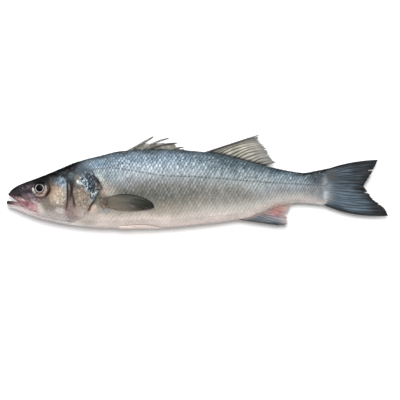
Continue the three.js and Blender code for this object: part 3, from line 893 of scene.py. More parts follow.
eye_finish, shader, place = fish_finish("eyeball", 0.12, 0.05, 0.4, Coat_IOR=1.35, Specular_IOR_Level=0.1)
from_pupil = read(place, "from_pupil")
fleck = noise(place, 2.6, 4.0, 0.7)
uneven = plus(from_pupil, swing(fleck, 0.22))
tint = ramp(times(uneven, 0.4), [
    (0.0, "030405"), (0.35, "050607"), (0.385, "8f8a8a"), (0.425, "a39d9b"), (0.47, "332d2c"),
    (0.58, "1f1c1c"), (0.68, "2c2827"), (0.76, "4f4744"), (0.84, "2c2625"), (0.92, "141212"),
])
iris_only = spread(from_pupil, 1.25, 1.4)
silver_flecks = times(spread(fleck, 0.52, 0.64), iris_only)
tint = blend(times(silver_flecks, 0.5), tint, "8f8a87")
tint = painted(tint, [
    ("ebe8e2", (7, 0.15), (0.33, 0.5), 20, 0.5, 0.95, 0.9),
    ("cfc2bd", (7.45, -0.6), (0.35, 0.3), -40, 0.6, 0.8, 0.9),
    ("7c7a70", (7.1, 1.2), (0.25, 0.25), 0, 0.5, 0.8, 0.9),
    ("b8aaa5", (10.5, 0.75), (0.34, 0.8), -10, 0.6, 0.85, 0.9),
    ("6a5c58", (10.65, 0.3), (0.12, 0.4), 0, 0.5, 0.7, 0.9),
    ("0e1011", (8.8, 2.1), (2.2, 0.7), 0, 0.4, 1, 0.9),
], place, swing(fleck))
below = spread(vector("DOT_PRODUCT", vector("SUBTRACT", place, (*PUPIL, 0)), (0.6, -1, 0)), 0.6, 1.6)
below = times(below, spread(uneven, 1.26, 1.45))
tan = ramp(fleck, [(0.4, "8a766c"), (0.5, "b39f95"), (0.62, "c9bab2")])
tint = blend(times(below, 0.9), tint, tan)
tint = painted(tint, [("6b463f", (9.0, -1.0), (0.75, 0.2), 12, 0.6, 0.9, 1)], place, swing(fleck))
tint = blend(spread(from_pupil, 0.86, 0.93, 1.0, 0.0), tint, "040506")
feed(shader.inputs["Metallic"], times(iris_only, 0.3))
surface(shader, tint, fleck, 0.2)

for side, which in SIDES:
    bpy.ops.object.select_all(action="DESELECT")
    bpy.ops.mesh.primitive_uv_sphere_add(segments=64, ring_count=32, radius=1)
    eyeball = bpy.context.object
    eyeball.name = "eye_" + which
    reach = EYE_RADIUS * MM / PERCENT
    low, high, front, rear = (
        float(flank(EYE[0] + x * reach, EYE[1] + y * reach)) for x, y in ((0, -1), (0, 1), (-1, 0), (1, 0))
    )
    eyeball.scale = (EYE_RADIUS * MM, EYE_RADIUS * MM, EYE_BULGE * MM)
    lean = -side * math.atan2(low - high, 2 * EYE_RADIUS)
    yaw = -side * math.atan2(rear - front, 2 * EYE_RADIUS)
    eyeball.rotation_euler = (lean, yaw, 0)
    eyeball.location = in_metres(np.array([*EYE, middle(EYE[0]) + side * (low + high) / 2]))
    bpy.ops.object.transform_apply(location=True, rotation=True, scale=True)
    along, above = fish_corners(eyeball)
    tag(eyeball, from_pupil=np.hypot(along - PUPIL[0], above - PUPIL[1]))
    smooth(eyeball, 80)
    wear(eyeball, eye_finish)

# ---- Scales ---------------------------------------------------------------------------------------------
# Thousands of thin horny scales that overlap like roof tiles. Their rows run along the lateral line, and
# they are small on the head and the tail stalk. Each is rooted in the skin at its front edge.

SCALE_LENGTH = outline([(10, 1.8), (21, 2.2), (31, 3.3), (58, 3.4), (74, 3), (84, 2)])
ROW_SHARE = 0.92
SCALE_FRONT, SCALE_REAR = -0.8, 0.62
SCALE_HALF = 0.98
SCALE_ROOT = -0.08
SCALE_RISE = 0.34
SCALE_SKIRT = -0.25
MOST_DRIFT = 0.17
MOST_SPIN = 5
SCALE_SIZES = (0.93, 1.05)
SCALE_RISES = (0.75, 1.3)
MOST_TILT = 0.07
FIRST_SCALE, LAST_SCALE = 11.2, 83.6
FURTHEST_TURN = 1.5
EYE_CLEARANCE = 2.9
BREAST_FIN_SEAT, SEAT_REACH = (25.3, -3.4), (0.9, 1.2)
ABOVE_PAPER = 0.4
ROWS_EACH_WAY = 33
STATION_STEP = 0.2
TURN_STEPS = 301
ROW_STEP = 0.1
NUDGE_ALONG, NUDGE_ROUND = 0.05, 0.01

# Scale columns are counted along the fish, and scale rows round it from the lateral line.
in_mm = (PERCENT / MM, PERCENT / MM, 1)
stations = np.arange(10.4, 84.61, STATION_STEP)
turns = np.linspace(-0.5, 0.5, TURN_STEPS) * math.pi
section = skin(stations[:, None], turns[None, :]) * in_mm
girthwise = np.linalg.norm(np.diff(section, axis=1)[:, :, 1:], axis=2)
girthwise = np.hstack([np.zeros((len(stations), 1)), np.cumsum(girthwise, axis=1)])
row_grid = np.arange(-ROWS_EACH_WAY - 1, ROWS_EACH_WAY + 1, ROW_STEP)
turn_at = np.empty((len(stations), len(row_grid)))
for i, station in enumerate(stations):
    zero = np.interp(lateral_line(station), section[i, :, 1] * MM / PERCENT, girthwise[i])
    turn_at[i] = np.interp(row_grid, (girthwise[i] - zero) / (ROW_SHARE * SCALE_LENGTH(station)), turns)
columns = np.append(0, np.cumsum(np.diff(stations) * PERCENT / MM / SCALE_LENGTH(stations[:-1])))


def on_scale_rows(column, row):
    """The place along the fish and the turn round it of a point given by scale column and row."""
    station = np.interp(column, columns, stations)
    i = np.clip((station - stations[0]) / STATION_STEP, 0, len(stations) - 1.001)
    j = np.clip((row - row_grid[0]) / ROW_STEP, 0, len(row_grid) - 1.001)
    a, b = i.astype(int), j.astype(int)
    s, t = i - a, j - b
    turn = (turn_at[a, b] * (1 - s) + turn_at[a + 1, b] * s) * (1 - t)
    turn = turn + (turn_at[a, b + 1] * (1 - s) + turn_at[a + 1, b + 1] * s) * t
    return station, turn


def scaled(along, above):
    """True where scales grow: not on the snout, in creases, on the plates' steps or under fin roots."""
    behind_cover = along - cover_edge(above)
    trunk = (behind_cover > 0.75) | (above > 4.6)
    cover = (behind_cover < -0.5) & (along > 17.9) & (above > -6.5)
    cheek = (along > 11.4) & (along < 15) & (np.abs(above) < 3.6)
    nape = (above > 4.4) & (along > 12 + 0.35 * (8 - above))
    bare = (creases(along, above) > 0.2) & (along < 26.5)
    near_eye = np.hypot(along - EYE[0], above - EYE[1]) < EYE_CLEARANCE
    fin_root = np.abs(along - BREAST_FIN_SEAT[0]) < SEAT_REACH[0]
    fin_root = fin_root & (np.abs(above - BREAST_FIN_SEAT[1]) < SEAT_REACH[1])
    return (trunk | cover | cheek | nape) & ~bare & ~near_eye & ~fin_root & (along > FIRST_SCALE)


chance = np.random.default_rng(11)
seats = np.array([
    (column + 0.5 * (row % 2), row)
    for row in range(-ROWS_EACH_WAY, ROWS_EACH_WAY) for column in range(int(columns[-1]))
])
seat_place, seat_turn = on_scale_rows(*seats.T)
seat_above = skin(seat_place, seat_turn, smooth=True)[:, 1]
in_reach = (np.abs(seat_turn) < FURTHEST_TURN) & (seat_place < LAST_SCALE)
seats = seats[scaled(seat_place, seat_above) & in_reach]
seats = seats + chance.uniform(-MOST_DRIFT, MOST_DRIFT, seats.shape)
count = len(seats)

# One scale: a small grid whose hind edge is turned down into a skirt.
plate = sheet("scale", 4, 5)[0]
bpy.ops.object.mode_set(mode="EDIT")
bpy.ops.mesh.select_mode(type="EDGE")
bpy.ops.mesh.select_all(action="DESELECT")
bpy.ops.object.mode_set(mode="OBJECT")
for edge in plate.data.edges:
    edge.select = all(plate.data.vertices[corner].co.x > 0.49 for corner in edge.vertices)
bpy.ops.object.mode_set(mode="EDIT")
bpy.ops.mesh.extrude_edges_move(TRANSFORM_OT_translate={"value": (0, 0, -1)})
bpy.ops.object.mode_set(mode="OBJECT")
lengthwise, side_to_side, under = (corners(plate) * (1, 2, 1) + (0.5, 0, 0)).T
plate_faces = np.array([face.vertices for face in plate.data.polygons])
bpy.data.objects.remove(plate)

# Every scale at its seat, turned, sized and tilted a little by chance.
spin = np.radians(chance.uniform(-MOST_SPIN, MOST_SPIN, count))[:, None]
size = chance.uniform(*SCALE_SIZES, count)[:, None]
lie = chance.uniform(*SCALE_RISES, count)[:, None]
tilt = chance.uniform(-MOST_TILT, MOST_TILT, count)[:, None]
rear = SCALE_REAR - 0.5 * (1 - np.sqrt(1 - 0.95 * side_to_side ** 2))
lead = (SCALE_FRONT + (rear - SCALE_FRONT) * lengthwise) * size
widening = 0.8 + 0.2 * np.sin(np.pi * np.minimum(lengthwise * 1.4, 1) / 2)
wide = SCALE_HALF * side_to_side * widening * size
column = seats[:, :1] + lead * np.cos(spin) - wide * np.sin(spin) * ROW_SHARE
row = seats[:, 1:] + wide * np.cos(spin) + lead * np.sin(spin) / ROW_SHARE
station, turn = on_scale_rows(column, row)
rise = SCALE_ROOT + SCALE_RISE * lie * lengthwise * (1 - 0.3 * side_to_side ** 2)
rise = rise + tilt * side_to_side * lengthwise
rise = rise * np.minimum(SCALE_LENGTH(station) / 3, 1) * ease(-0.9, -0.3, turn) ** 0.5
rise = np.where(under < -0.5, SCALE_SKIRT, rise)
base = skin(station, turn)
ahead = (skin(station + NUDGE_ALONG, turn) - base) * in_mm
over = (skin(station, turn + NUDGE_ROUND) - base) * in_mm
points = base + rise[..., None] * unit(np.cross(ahead, over)) / in_mm
tone = np.repeat(chance.uniform(0, 1, count), len(lengthwise))

scale_finish, shader, place = fish_finish("scales", 0.12, 0.15, Specular_IOR_Level=0.2)
tint, silver = fish_colour(place)
rim, across, height, chosen = read(place, "rim", "across", "height", "tone")
along = along_of(place)
# Painted shading on each scale: dark at its covered front, bright in the middle, darker at rim and sides.
towards_rim = plus(rim, times(reckon("POWER", reckon("ABSOLUTE", across), 3.0), 0.3))
towards_rim = minus(towards_rim, times(across, spread(along, 36, 58, 0.07, 0.22)))
shading = ramp(towards_rim, [
    (0.4, "787c7f"), (0.55, "bbbdbf"), (0.72, "ffffff"), (0.88, "f0f0f0"), (1.0, "7d8184"),
])
aside = spread(reckon("ABSOLUTE", across), 0.25, 0.75)
shading = blend(aside, shading, "cfd2d4", "MULTIPLY")
near_back = spread(height, 0.55, 0.8)
shading = blend(near_back, shading, blend(0.7, shading, shading, "MULTIPLY"))
# The painted shading and glints are livelier high on the trunk and fade on the head.
lively = times(spread(height, 0.1, 0.7, 0.34, 0.78), spread(noise(place, 0.35, 2.0), 0.3, 0.65, 0.6, 0.9))
lively = times(lively, spread(along, 17, 23, 0.25, 1.0))
tint = blend(lively, tint, blend(1.0, tint, shading, "MULTIPLY"))
dull = times(spread(chosen, 0.5, 0.0, 0.0, 0.55), lively)
tint = blend(dull, tint, blend(1.0, tint, "9a9fa2", "MULTIPLY"))
# Painted glints: a bright stroke near the rim of scales with a high random tone.
stroke = times(spread(towards_rim, 0.95, 0.75), spread(aside, 1.0, 0.3))
glint = times(times(spread(chosen, 0.6, 1.0), stroke), times(lively, spread(along, 78, 50, 0.35, 1.0)))
glint = times(glint, spread(height, 0.91, 0.98, 1.0, 0.3))
glint = times(glint, spread(near_back, 0.0, 1.0, 0.35, 0.95))
tint = blend(glint, tint, blend(0.5, tint, "e3edf2"))
feed(shader.inputs["Roughness"], spread(chosen, 0.0, 1.0, 0.5, 0.3))
feed(shader.inputs["Metallic"], times(silver, 0.25))
growth = add("TexWave", {
    "Vector": add("CombineXYZ", {"X": towards_rim}).outputs[0], "Scale": 3.0,
}, wave_type="BANDS")
surface(shader, tint, growth.outputs["Fac"], 0.08)

for side, which in SIDES:
    placed = points.copy()
    faces = plate_faces + np.arange(count)[:, None, None] * len(lengthwise)
    if side < 0:
        placed[..., 2] = 2 * middle(placed[..., 0]) - placed[..., 2]
        faces = faces[:, :, ::-1]
    faces = faces[(placed[..., 2] >= ABOVE_PAPER).all(axis=1)]
    mesh = bpy.data.meshes.new("scales_" + which)
    mesh.from_pydata(in_metres(placed).reshape(-1, 3).tolist(), [], faces.reshape(-1, 4).tolist())
    scales = bpy.data.objects.new("scales_" + which, mesh)
    bpy.context.collection.objects.link(scales)
    tag(
        scales, tone=tone, rim=np.tile(lengthwise, count), across=np.tile(side_to_side, count),
        height=share_up(*fish_corners(scales)), line=row.ravel(),
    )
    choose(scales)
    bpy.ops.object.mode_set(mode="EDIT")
    bpy.ops.mesh.select_all(action="SELECT")
    bpy.ops.mesh.delete_loose()
    bpy.ops.object.mode_set(mode="OBJECT")
    smooth(scales, 40)
    wear(scales, scale_finish)

# ---- Tail fin -------------------------------------------------------------------------------------------
# A forked fan of thin skin stretched over branching rays. It grows out of the tail stalk and is stiff
# enough to stay clear of the surface. The hind edge is frayed.

WEB_SHARE = 0.34
TIP_SHARE = 0.4
RAY_WAVER = 0.14
RAY_WIDTH, RAY_NARROWING = 0.16, 0.09
NOTCH_RUN = 0.13
ENDS_PER_RAY = 5
PAPER_GAP = 0.05


def in_plane(along, above, off):
    """Places in the fish's middle plane, or off to one side of it by millimetres."""
    return np.stack([along, above, np.maximum(middle(along) + off, np.abs(off))], axis=-1)


def ray_offsets(lone, out, forks):
    """How far a point is from the nearest branch of its ray, as a share of the space between two rays."""
    first = 0.25 * ease(forks[0], 1.05, out)
    second = 0.125 * ease(forks[1], 1.1, out)
    return np.abs(np.abs(np.abs(lone) - first) - second)


def bent_line(root, tip, bow, share):
    """Points at shares of the way from root to tip, on lines that are bent sideways."""
    root, tip, t = np.atleast_2d(root), np.atleast_2d(tip), share[:, None]
    aside = np.stack([root[:, 1] - tip[:, 1], tip[:, 0] - root[:, 0]], axis=1) * np.reshape(bow, (-1, 1))
    return (1 - t) ** 2 * root + 2 * t * (1 - t) * ((root + tip) / 2 + aside) + t * t * tip


def fin(name, rays, roots, tips, bow, thick, notch, frayed, ripple, seed,
        forks=(0.3, 0.65), per_ray=14, steps=64, on=in_plane, splits=()):
    """A finished fin. Its rays run from the roots line to the tips line, bent sideways by bow, which is
    given at some shares of the way across. The web between their ends is notched, and the ends are frayed.
    A split is a place across, its depth and its width."""
    piece, u, out = sheet(name, 2 * per_ray * (rays - 1), steps)
    face = np.where(u < 0.5, 1, -1)
    share = np.where(u < 0.5, 2 * u, 2 - 2 * u)
    inside = np.minimum(1, 8 * share * (1 - share))
    count = share * (rays - 1)
    count = count + RAY_WAVER * inside * np.sin(6 * out + 1.7 * count + seed)
    lone = count - np.round(count)
    ends = np.random.default_rng(seed).uniform(0, 1, ENDS_PER_RAY * rays)
    fray = frayed * np.interp(share * (len(ends) - 1), np.arange(len(ends)), ends)
    limit = 1 - (fray + notch * ease(0, NOTCH_RUN, ray_offsets(lone, 1.0, forks))) * inside
    for split, depth, width in splits:
        limit = limit - depth * groove(share - split, width)
    root, tip = drawn_through(roots)(share), drawn_through(tips)(share)
    flat = bent_line(root, tip, outline(bow)(share), out * limit)
    ridge = groove(ray_offsets(lone, out, forks), RAY_WIDTH - RAY_NARROWING * out)
    taper = (1 - (1 - TIP_SHARE) * out) * np.minimum(1, 14 * (1 - out)) ** 0.5 * np.minimum(1, 20 * out)
    rounded = np.sqrt(np.clip(np.minimum(share, 1 - share) * (rays - 1) / 0.12, 0, 1))
    half = thick / 2 * taper * (WEB_SHARE + (1 - WEB_SHARE) * ridge) * rounded
    wave = ripple * ease(0.1, 1, out) * np.sin(count * 1.9 + 2.5 * out + seed) * np.cos(0.7 * count + seed)
    wave = wave + 0.5 * ripple * ease(0.2, 1, out) * np.sin(2 * math.pi * count)
    placed = on(*flat.T, face * half + wave)
    placed[:, 2] = np.maximum(placed[:, 2], PAPER_GAP + half * (1 + face) / 2)
    shape(piece, in_metres(placed))
    along, above, _ = placed.T
    clear = np.maximum(above - back(along), belly(along) - above)
    tag(piece, count=count, out=out, share=share, clear=clear, height=share_up(along, above), line=NO_LINE)
    close_up(piece, 0.004 * MM)
    smooth(piece, 60)
    return piece


# Lines where the rays lie, from the number of the ray and how far out a point is.
ray_group, given, result = new_group("ray_lines", {
    "Count": "Float", "Out": "Float", "First fork": "Float", "Second fork": "Float", "Width": "Float",
}, {"Mask": "Float"})
lone = reckon("ABSOLUTE", minus(given["Count"], reckon("ROUND", given["Count"])))
for fork, end, gap in (("First fork", 1.05, 0.25), ("Second fork", 1.1, 0.125)):
    lone = reckon("ABSOLUTE", minus(lone, spread(given["Out"], given[fork], end, 0.0, gap)))
feed(result["Mask"], spread(reckon("DIVIDE", lone, given["Width"]), 0.4, 1.4, 1.0, 0.0))


def ray_mask(place, first, second, width):
    """1 on the rays, with their first and second forks that far out, and 0 on the web."""
    count, out = read(place, "count", "out")
    return add("Group", {
        "Count": count, "Out": out, "First fork": first, "Second fork": second, "Width": width,
    }, node_tree=ray_group).outputs["Mask"]


def ray_streaks(place, across, along, detail):
    """Streaks that run along the rays, 0 to 1."""
    count, out = read(place, "count", "out")
    drawn_out = add("CombineXYZ", {"X": times(count, across), "Y": times(out, along)}).outputs[0]
    return noise(drawn_out, 1.0, detail)


tail_finish, shader, place = fish_finish("tail_fin_skin", 0.25, 0.25, 0.45)
out, share = read(place, "out", "share")
along = along_of(place)
streak = ray_streaks(place, 3.8, 3.0, 4.5)
worn = plus(out, swing(noise(place, 0.35, 3.0), 0.3))
upper = ramp(worn, [
    (0.1, "43454b"), (0.3, "363d44"), (0.55, "2f383f"), (0.75, "22292e"), (0.9, "1b2023"), (1.0, "101213"),
])
lower = ramp(worn, [
    (0.1, "464f57"), (0.3, "3d4a54"), (0.55, "3d4c57"), (0.75, "35444f"), (0.88, "242d34"), (1.0, "101416"),
])
tint = blend(spread(share, 0.35, 0.6), upper, lower)
tint = blend(spread(streak, 0.5, 0.66, 0.0, 0.5), tint, "788b9b")
tint = blend(spread(streak, 0.48, 0.34, 0.0, 0.6), tint, "1a2126")
web_only = minus(1.0, ray_mask(place, 0.3, 0.65, 0.16))
tint = blend(times(web_only, 0.2), tint, "8194a3")
tint = blend(times(ray_mask(place, 0.3, 0.65, 0.07), 0.85), tint, "12181d")
outer_ray = spread(reckon("ABSOLUTE", swing(share)), 0.41, 0.48, 0.0, 0.9)
tint = blend(outer_ray, tint, "0d1012")
hind_edge = spread(plus(out, swing(streak, 0.25)), 0.84, 1.0, 0.0, 0.85)
tint = blend(hind_edge, tint, "0e1113")
# The stalk's skin runs out over the root of the fin in ragged points.
flesh = fish_colour(place)[0]
flesh = blend(1.0, flesh, ramp(spread(along, 83, 86), [(0.0, "f0f0f0"), (1.0, "b4b9be")]), "MULTIPLY")
ragged = plus(plus(along, swing(streak, 5.0)), spread(share, 0.75, 1.0, 0.0, 3.0))
tint = blend(spread(ragged, 83.2, 86.8, 0.95, 0.0), tint, flesh)
tint = painted(tint, [("4b4645", (85.0, 3.8), (1.5, 1.3), 0, 0.7, 0.7, 1)], place, swing(streak))
tint = painted(tint, [
    ("bcc0c4", (91.0, 4.4), (6.0, 2.6), 18, 0.8, 1, 1), ("d4d4d4", (92.8, 6.5), (2.8, 1.0), 10, 0.6, 1, 1),
    ("8f8f8f", (92.3, 0.25), (1.5, 0.4), -3, 0.6, 1, 1),
    ("a2a2a2", (97.2, -5.3), (2.6, 0.9), -25, 0.7, 1, 1),
    ("b0b4b8", (86.7, -4.2), (1.9, 0.5), -20, 0.7, 1, 1), ("c8c8c8", (92.5, 0.8), (1.6, 1.2), 0, 0.7, 1, 1),
], place, swing(streak), "MULTIPLY")
surface(shader, tint, streak, 0.5)

wear(fin(
    "tail_fin", rays=19, roots=[(81.5, 4.6), (82.5, 0.7), (81.5, -3.2)],
    tips=[
        (97.3, 7.95), (96.5, 5.9), (95.6, 4.1), (94.7, 2.7), (93.75, 1.2), (94.4, 0.1),
        (95.3, -1.2), (96.3, -2.55), (98.4, -3.9), (99.4, -5.1), (99.95, -6.75),
    ],
    bow=[(0, 0.095), (1, -0.135)], thick=1.9, notch=0.015, frayed=0.02, ripple=0.5, seed=1, per_ray=16,
    splits=[(0.164, 0.1, 0.008), (0.548, 0.09, 0.008), (0.8, 0.05, 0.006)],
), tail_finish)

# ---- First back fin -------------------------------------------------------------------------------------
# Hard sharp spines of bone, each a tapered rod rooted in the ridge of the back, with a torn web of thin
# skin between them. The fin is folded half down, and its last spines lie along the back.

SPINE_GRID = (12, 40)

spine_finish, shader, place = fish_finish("fin_spine", 0.3, 0.2, 0.4)
out, dark = read(place, "out", "dark")
streak = noise(place, 1.6, 3.0)
tint = blend(dark, ramp(streak, [(0.35, "575857"), (0.5, "716f6b"), (0.65, "8d8a83")]), "2c2a27")
tint = blend(spread(out, 0.8, 1.0, 0.0, 0.6), tint, "3a3c3c")
surface(shader, tint, streak, 0.3)


def spine(name, root, tip, bow, thick, off, dark):
    """A finished spine, rooted in the fish's middle plane or off to one side of it by millimetres."""
    def centre(share):
        along, above = bent_line(root, tip, bow, share).T
        return in_metres(np.stack([along, above, middle(along) + off * (1 - share)], axis=-1))

    radius = outline([(0, thick / 2), (0.5, 0.45 * thick), (0.93, 0.3 * thick), (1, 0)])
    piece = tube(name, centre, radius, *SPINE_GRID)
    tag(piece, dark=dark)
    wear(piece, spine_finish)


# Root, tip, bow, thickness, distance from the middle plane and darkness of each spine.
SPINES = [
    ((30.9, 9.6), (38.6, 14.1), -0.01, 2.9, 0.4, 0.2), ((34.6, 9.8), (42.7, 13.6), 0.13, 2.3, 0.7, 0.1),
    ((35.2, 9.8), (44.9, 12.3), 0.11, 2.4, 1.0, 0.75), ((40, 9.8), (46.5, 11.25), 0.06, 2.0, 0.8, 0.3),
    ((41.6, 9.8), (46.6, 10.6), 0.06, 1.8, 1.1, 0.6),
]
for i, facts in enumerate(SPINES):
    spine("back_spine_%d" % (i + 1), *facts)

torn_finish, shader, place = fish_finish("torn_web", 0.2, 0.3, 0.5)
out, clear = read(place, "out", "clear")
cloud = noise(place, 0.9, 4.0)
tint = ramp(cloud, [(0.32, "77746a"), (0.45, "908d83"), (0.55, "a9a6a0"), (0.66, "bfbfbf")])
tint = blend(times(ray_mask(place, 2.0, 2.0, 0.12), 0.55), tint, "5a5953")
tint = blend(spread(clear, 0.05, 0.5, 0.95, 0.0), tint, "20272b")
tint = blend(spread(out, 0.9, 1.0, 0.0, 0.6), tint, "5d5c57")
surface(shader, tint, cloud, 0.5)
wear(fin(
    "back_fin_web", rays=9, roots=[(31.2, 9.5), (37, 9.6), (45.5, 9.5)],
    tips=[
        (35.9, 12.45), (37.4, 12.2), (38.8, 12.3), (41, 12.5), (44.1, 12.1), (44.5, 11.4), (45.3, 10.9),
        (47.6, 10.3),
    ],
    bow=[(0, -0.02), (0.3, 0.02), (1, 0.05)], thick=1.1, notch=0.05, frayed=0.05, ripple=0.5, seed=4,
    forks=(2, 3), per_ray=18, steps=40,
), torn_finish)

# ---- Second back fin ------------------------------------------------------------------------------------
# Soft pale rays in a thin grey web, behind one hard dark spine, all rooted in the ridge of the back. The
# fin leans back and its edge is frayed.

soft_finish, shader, place = fish_finish("soft_fin_skin", 0.25, 0.3, 0.5)
count, out, clear = read(place, "count", "out", "clear")
cloud = noise(place, 0.5, 3.0)
web = ramp(cloud, [(0.35, "45433b"), (0.5, "59564e"), (0.65, "6b6860")])
light_ray = ramp(cloud, [(0.35, "96938a"), (0.5, "a8a498"), (0.65, "b9b5a9")])
tint = blend(ray_mask(place, 0.4, 2.0, 0.18), web, light_ray)
tint = blend(spread(count, 0.5, 3.4, 0.55, 0.0), tint, "4b4b46")
greyed = spread(plus(along_of(place), times(cloud, 3.0)), 64, 69.5, 0.0, 0.6)
tint = blend(greyed, tint, "67696a")
tint = blend(spread(out, 0.8, 1.0, 0.0, 0.45), tint, "6a6c6c")
tint = blend(spread(clear, 0.1, 1.0, 0.95, 0.0), tint, "191e20")
surface(shader, tint, cloud, 0.4)
wear(fin(
    "second_back_fin", rays=13, roots=[(51.1, 9.3), (59.6, 7.2), (66.4, 5.4)],
    tips=[(65.8, 14.05), (66.9, 12.9), (68.2, 11.2), (68.9, 9.6), (69.7, 8), (70.6, 7.2)],
    bow=[(0, 0.025), (0.08, 0.07), (0.2, 0.15), (0.7, 0.2), (1, 0.1)],
    thick=1.6, notch=0.05, frayed=0.06, ripple=0.6, seed=7,
    splits=[(0.19, 0.05, 0.012), (0.36, 0.06, 0.012), (0.52, 0.07, 0.012), (0.7, 0.04, 0.01)],
), soft_finish)
spine("second_back_spine", (50.9, 9.4), (66.35, 14.5), 0.0, 2.0, 0.3, 0.75)

# ---- Anal fin -------------------------------------------------------------------------------------------
# The fin under the tail stalk: a few hard spines in front and soft rays behind, flushed red at its root.
# Its skin grows out of the belly's, and its lower hind end is worn and frayed.

anal_finish, shader, place = fish_finish("anal_fin_skin", 0.25, 0.3, 0.5)
count, out, share, clear = read(place, "count", "out", "share", "clear")
cloud = noise(place, 0.7, 3.0)
streak = ray_streaks(place, 2.6, 2.0, 3.0)
backwards = plus(share, swing(cloud, 0.3))
web = ramp(backwards, [
    (0.0, "33373a"), (0.1, "50555a"), (0.28, "59626a"), (0.42, "69676c"), (0.5, "80686b"), (0.6, "9f716d"),
    (0.7, "a26a63"), (0.8, "9b756c"), (0.9, "9a857b"), (1.0, "9c8c84"),
])
light_ray = ramp(backwards, [
    (0.0, "43484b"), (0.2, "7c848d"), (0.5, "a69c9e"), (0.66, "b68a85"), (0.82, "b3958c"), (1.0, "bdaba1"),
])
tint = blend(times(ray_mask(place, 0.3, 0.7, 0.14), 0.8), web, light_ray)
tint = blend(spread(streak, 0.48, 0.36, 0.0, 0.65), tint, "3a3c42")
worn_end = times(times(spread(streak, 0.5, 0.6), spread(out, 0.7, 0.95)), spread(share, 0.3, 0.5, 0.0, 0.7))
tint = blend(worn_end, tint, "b5aeab")
tint = blend(spread(along_of(place), 71.4, 73.4, 0.0, 0.6), tint, "a0928c")
soiled = times(times(spread(share, 0.4, 0.2), spread(out, 0.55, 0.9)), 0.65)
tint = blend(soiled, tint, "35393c")
by_body = times(spread(clear, 0.0, 1.0, 0.75, 0.0), spread(share, 0.5, 0.8, 1.0, 0.3))
tint = blend(by_body, tint, "9c8a85")
tint = blend(spread(count, 0.25, 0.7, 0.95, 0.0), tint, "1d2123")
surface(shader, tint, cloud, 0.4)
wear(fin(
    "anal_fin", rays=13, roots=[(59.5, -7.6), (66.5, -5.2), (72.4, -3.5)],
    tips=[
        (71.4, -9.3), (74.5, -9.3), (74.1, -8.2), (73.7, -7.1), (73.2, -6.2), (74.1, -5.2), (74.2, -4.2),
        (74.1, -3.4),
    ],
    bow=[(0, 0), (1, 0)], thick=1.5, notch=0.06, frayed=0.09, ripple=0.5, seed=9,
    splits=[(0.13, 0.06, 0.02), (0.3, 0.05, 0.015), (0.47, 0.07, 0.02), (0.62, 0.06, 0.015)],
), anal_finish)

# ---- Breast fins ----------------------------------------------------------------------------------------
# A dark rounded fan of thin skin on soft rays, one on each flank. It grows from a short fleshy root behind
# the gill cover, and it is folded back and lies close to the skin.

FIN_LIFT = 1.1
FIN_TIP_LIFT = 1.9
FIN_ROOT_DEPTH = 3
BREAST_ROOT_LINE = [(24.9, -2.3), (25.3, -3.4), (26.0, -4.9)]
BREAST_ROOT_WIDTH = outline([(0, 0), (0.2, 0.55), (0.6, 0.75), (0.85, 0.5), (1, 0)])
BREAST_ROOT_THICKNESS = 1.9

breast_finish, shader, place = fish_finish("breast_fin_skin", 0.3, 0.22, 0.45)
out, share = read(place, "out", "share")
along = along_of(place)
cloud = noise(place, 0.6, 3.0)
streak = ray_streaks(place, 1.9, 2.2, 3.0)
worn = plus(out, swing(cloud, 0.3))
tint = ramp(worn, [
    (0.0, "544a43"), (0.12, "685f55"), (0.3, "605a50"), (0.5, "4c4c44"), (0.75, "2b2c23"), (0.95, "15140f"),
])
tint = blend(spread(streak, 0.5, 0.36, 0.0, 0.5), tint, "24251e")
tint = blend(spread(streak, 0.54, 0.66, 0.0, 0.4), tint, "7d7466")
dark_ray = times(ray_mask(place, 0.35, 0.7, 0.09), spread(worn, 0.3, 0.8, 0.25, 0.7))
tint = blend(dark_ray, tint, "191913")
upper_side = times(spread(share, 0.3, 0.04, 0.0, 0.5), spread(along, 27.5, 30.5))
tint = blend(upper_side, tint, "292a25")
lower_side = spread(plus(share, times(cloud, 0.3)), 0.45, 1.05, 0.0, 0.9)
tint = blend(times(lower_side, spread(along, 35.5, 38, 1.0, 0.15)), tint, "6f6559")
tint = blend(spread(share, 0.9, 0.97, 0.0, 0.65), tint, "584234")
tint = blend(spread(share, 0.075, 0.015, 0.0, 0.9), tint, "191913")
surface(shader, tint, cloud, 0.4)

root_finish, shader, place = fish_finish("fin_root_skin", 0.35, 0.2, 0.45)
cloud = noise(place, 1.2, 4.0)
surface(shader, ramp(cloud, [(0.3, "433a35"), (0.5, "665a50"), (0.7, "8d7b69")]), cloud, 0.6, 0.5)


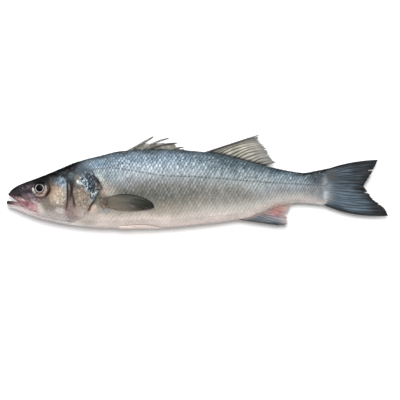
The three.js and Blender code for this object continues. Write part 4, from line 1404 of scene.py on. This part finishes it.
def on_flank(side):
    """Places on one flank, sunk in it at the fin's root and lifted off it more and more towards the tip."""
    def place(along, above, off):
        lift = FIN_LIFT + FIN_TIP_LIFT * ease(27, 39, along) - FIN_ROOT_DEPTH * (1 - ease(25, 27, along))
        height = middle(along) + side * (flank(along, above) + lift + side * off)
        return np.stack([along, above, height], axis=-1)

    return place


for side, which in SIDES:
    wear(fin(
        "breast_fin_" + which, rays=12, roots=[(25.3, -2.5), (26.2, -3.6), (26.4, -4.6)],
        tips=[
            (37.8, -2.9), (38.7, -3.7), (39.1, -4.5), (38.5, -5), (36.6, -5.4), (32.6, -5.6), (28.8, -5.2),
        ],
        bow=[(0, 0.27), (1, 0.02)], thick=1.2, notch=0.03, frayed=0.03, ripple=0.25, seed=12,
        on=on_flank(side),
    ), breast_finish)
    name = "breast_fin_root_" + which
    wear(laid_on(name, BREAST_ROOT_LINE, BREAST_ROOT_WIDTH, BREAST_ROOT_THICKNESS, side), root_finish)

# ---- Belly fins -----------------------------------------------------------------------------------------
# A pair of small pale fins folded back along the belly, side by side. They are thin skin on soft rays, and
# are rooted in the keel just behind the breast fins.

KEEL_LIFT = 0.9
KEEL_ROOT_DEPTH = 3.5

belly_finish, shader, place = fish_finish("belly_fin_skin", 0.3, 0.25, 0.5)
cloud = noise(place, 0.7, 3.0)
tint = ramp(cloud, [(0.3, "cdb4a9"), (0.5, "d9c6bc"), (0.7, "e4d9d1")])
tint = blend(times(ray_mask(place, 0.35, 0.7, 0.1), 0.4), tint, "e9e2dc")
surface(shader, tint, cloud, 0.4)


def on_belly(side):
    """Places on the belly, given by place along and degrees from the keel up one flank."""
    def place(along, degrees, off):
        turn = -math.pi / 2 + side * np.radians(degrees)
        lift = KEEL_LIFT - KEEL_ROOT_DEPTH * (1 - ease(28.4, 30, along)) + off
        return skin(along, turn, lift, smooth=True)

    return place


for side, which in SIDES:
    wear(fin(
        "belly_fin_" + which, rays=6, roots=[(28.6, 10), (28.9, 16), (29, 22)],
        tips=[(39, 5), (40.6, 10), (39.6, 17), (36.5, 24)],
        bow=[(0, 0), (1, 0)], thick=1.2, notch=0.03, frayed=0.04, ripple=0.15, seed=14, on=on_belly(side),
    ), belly_finish)
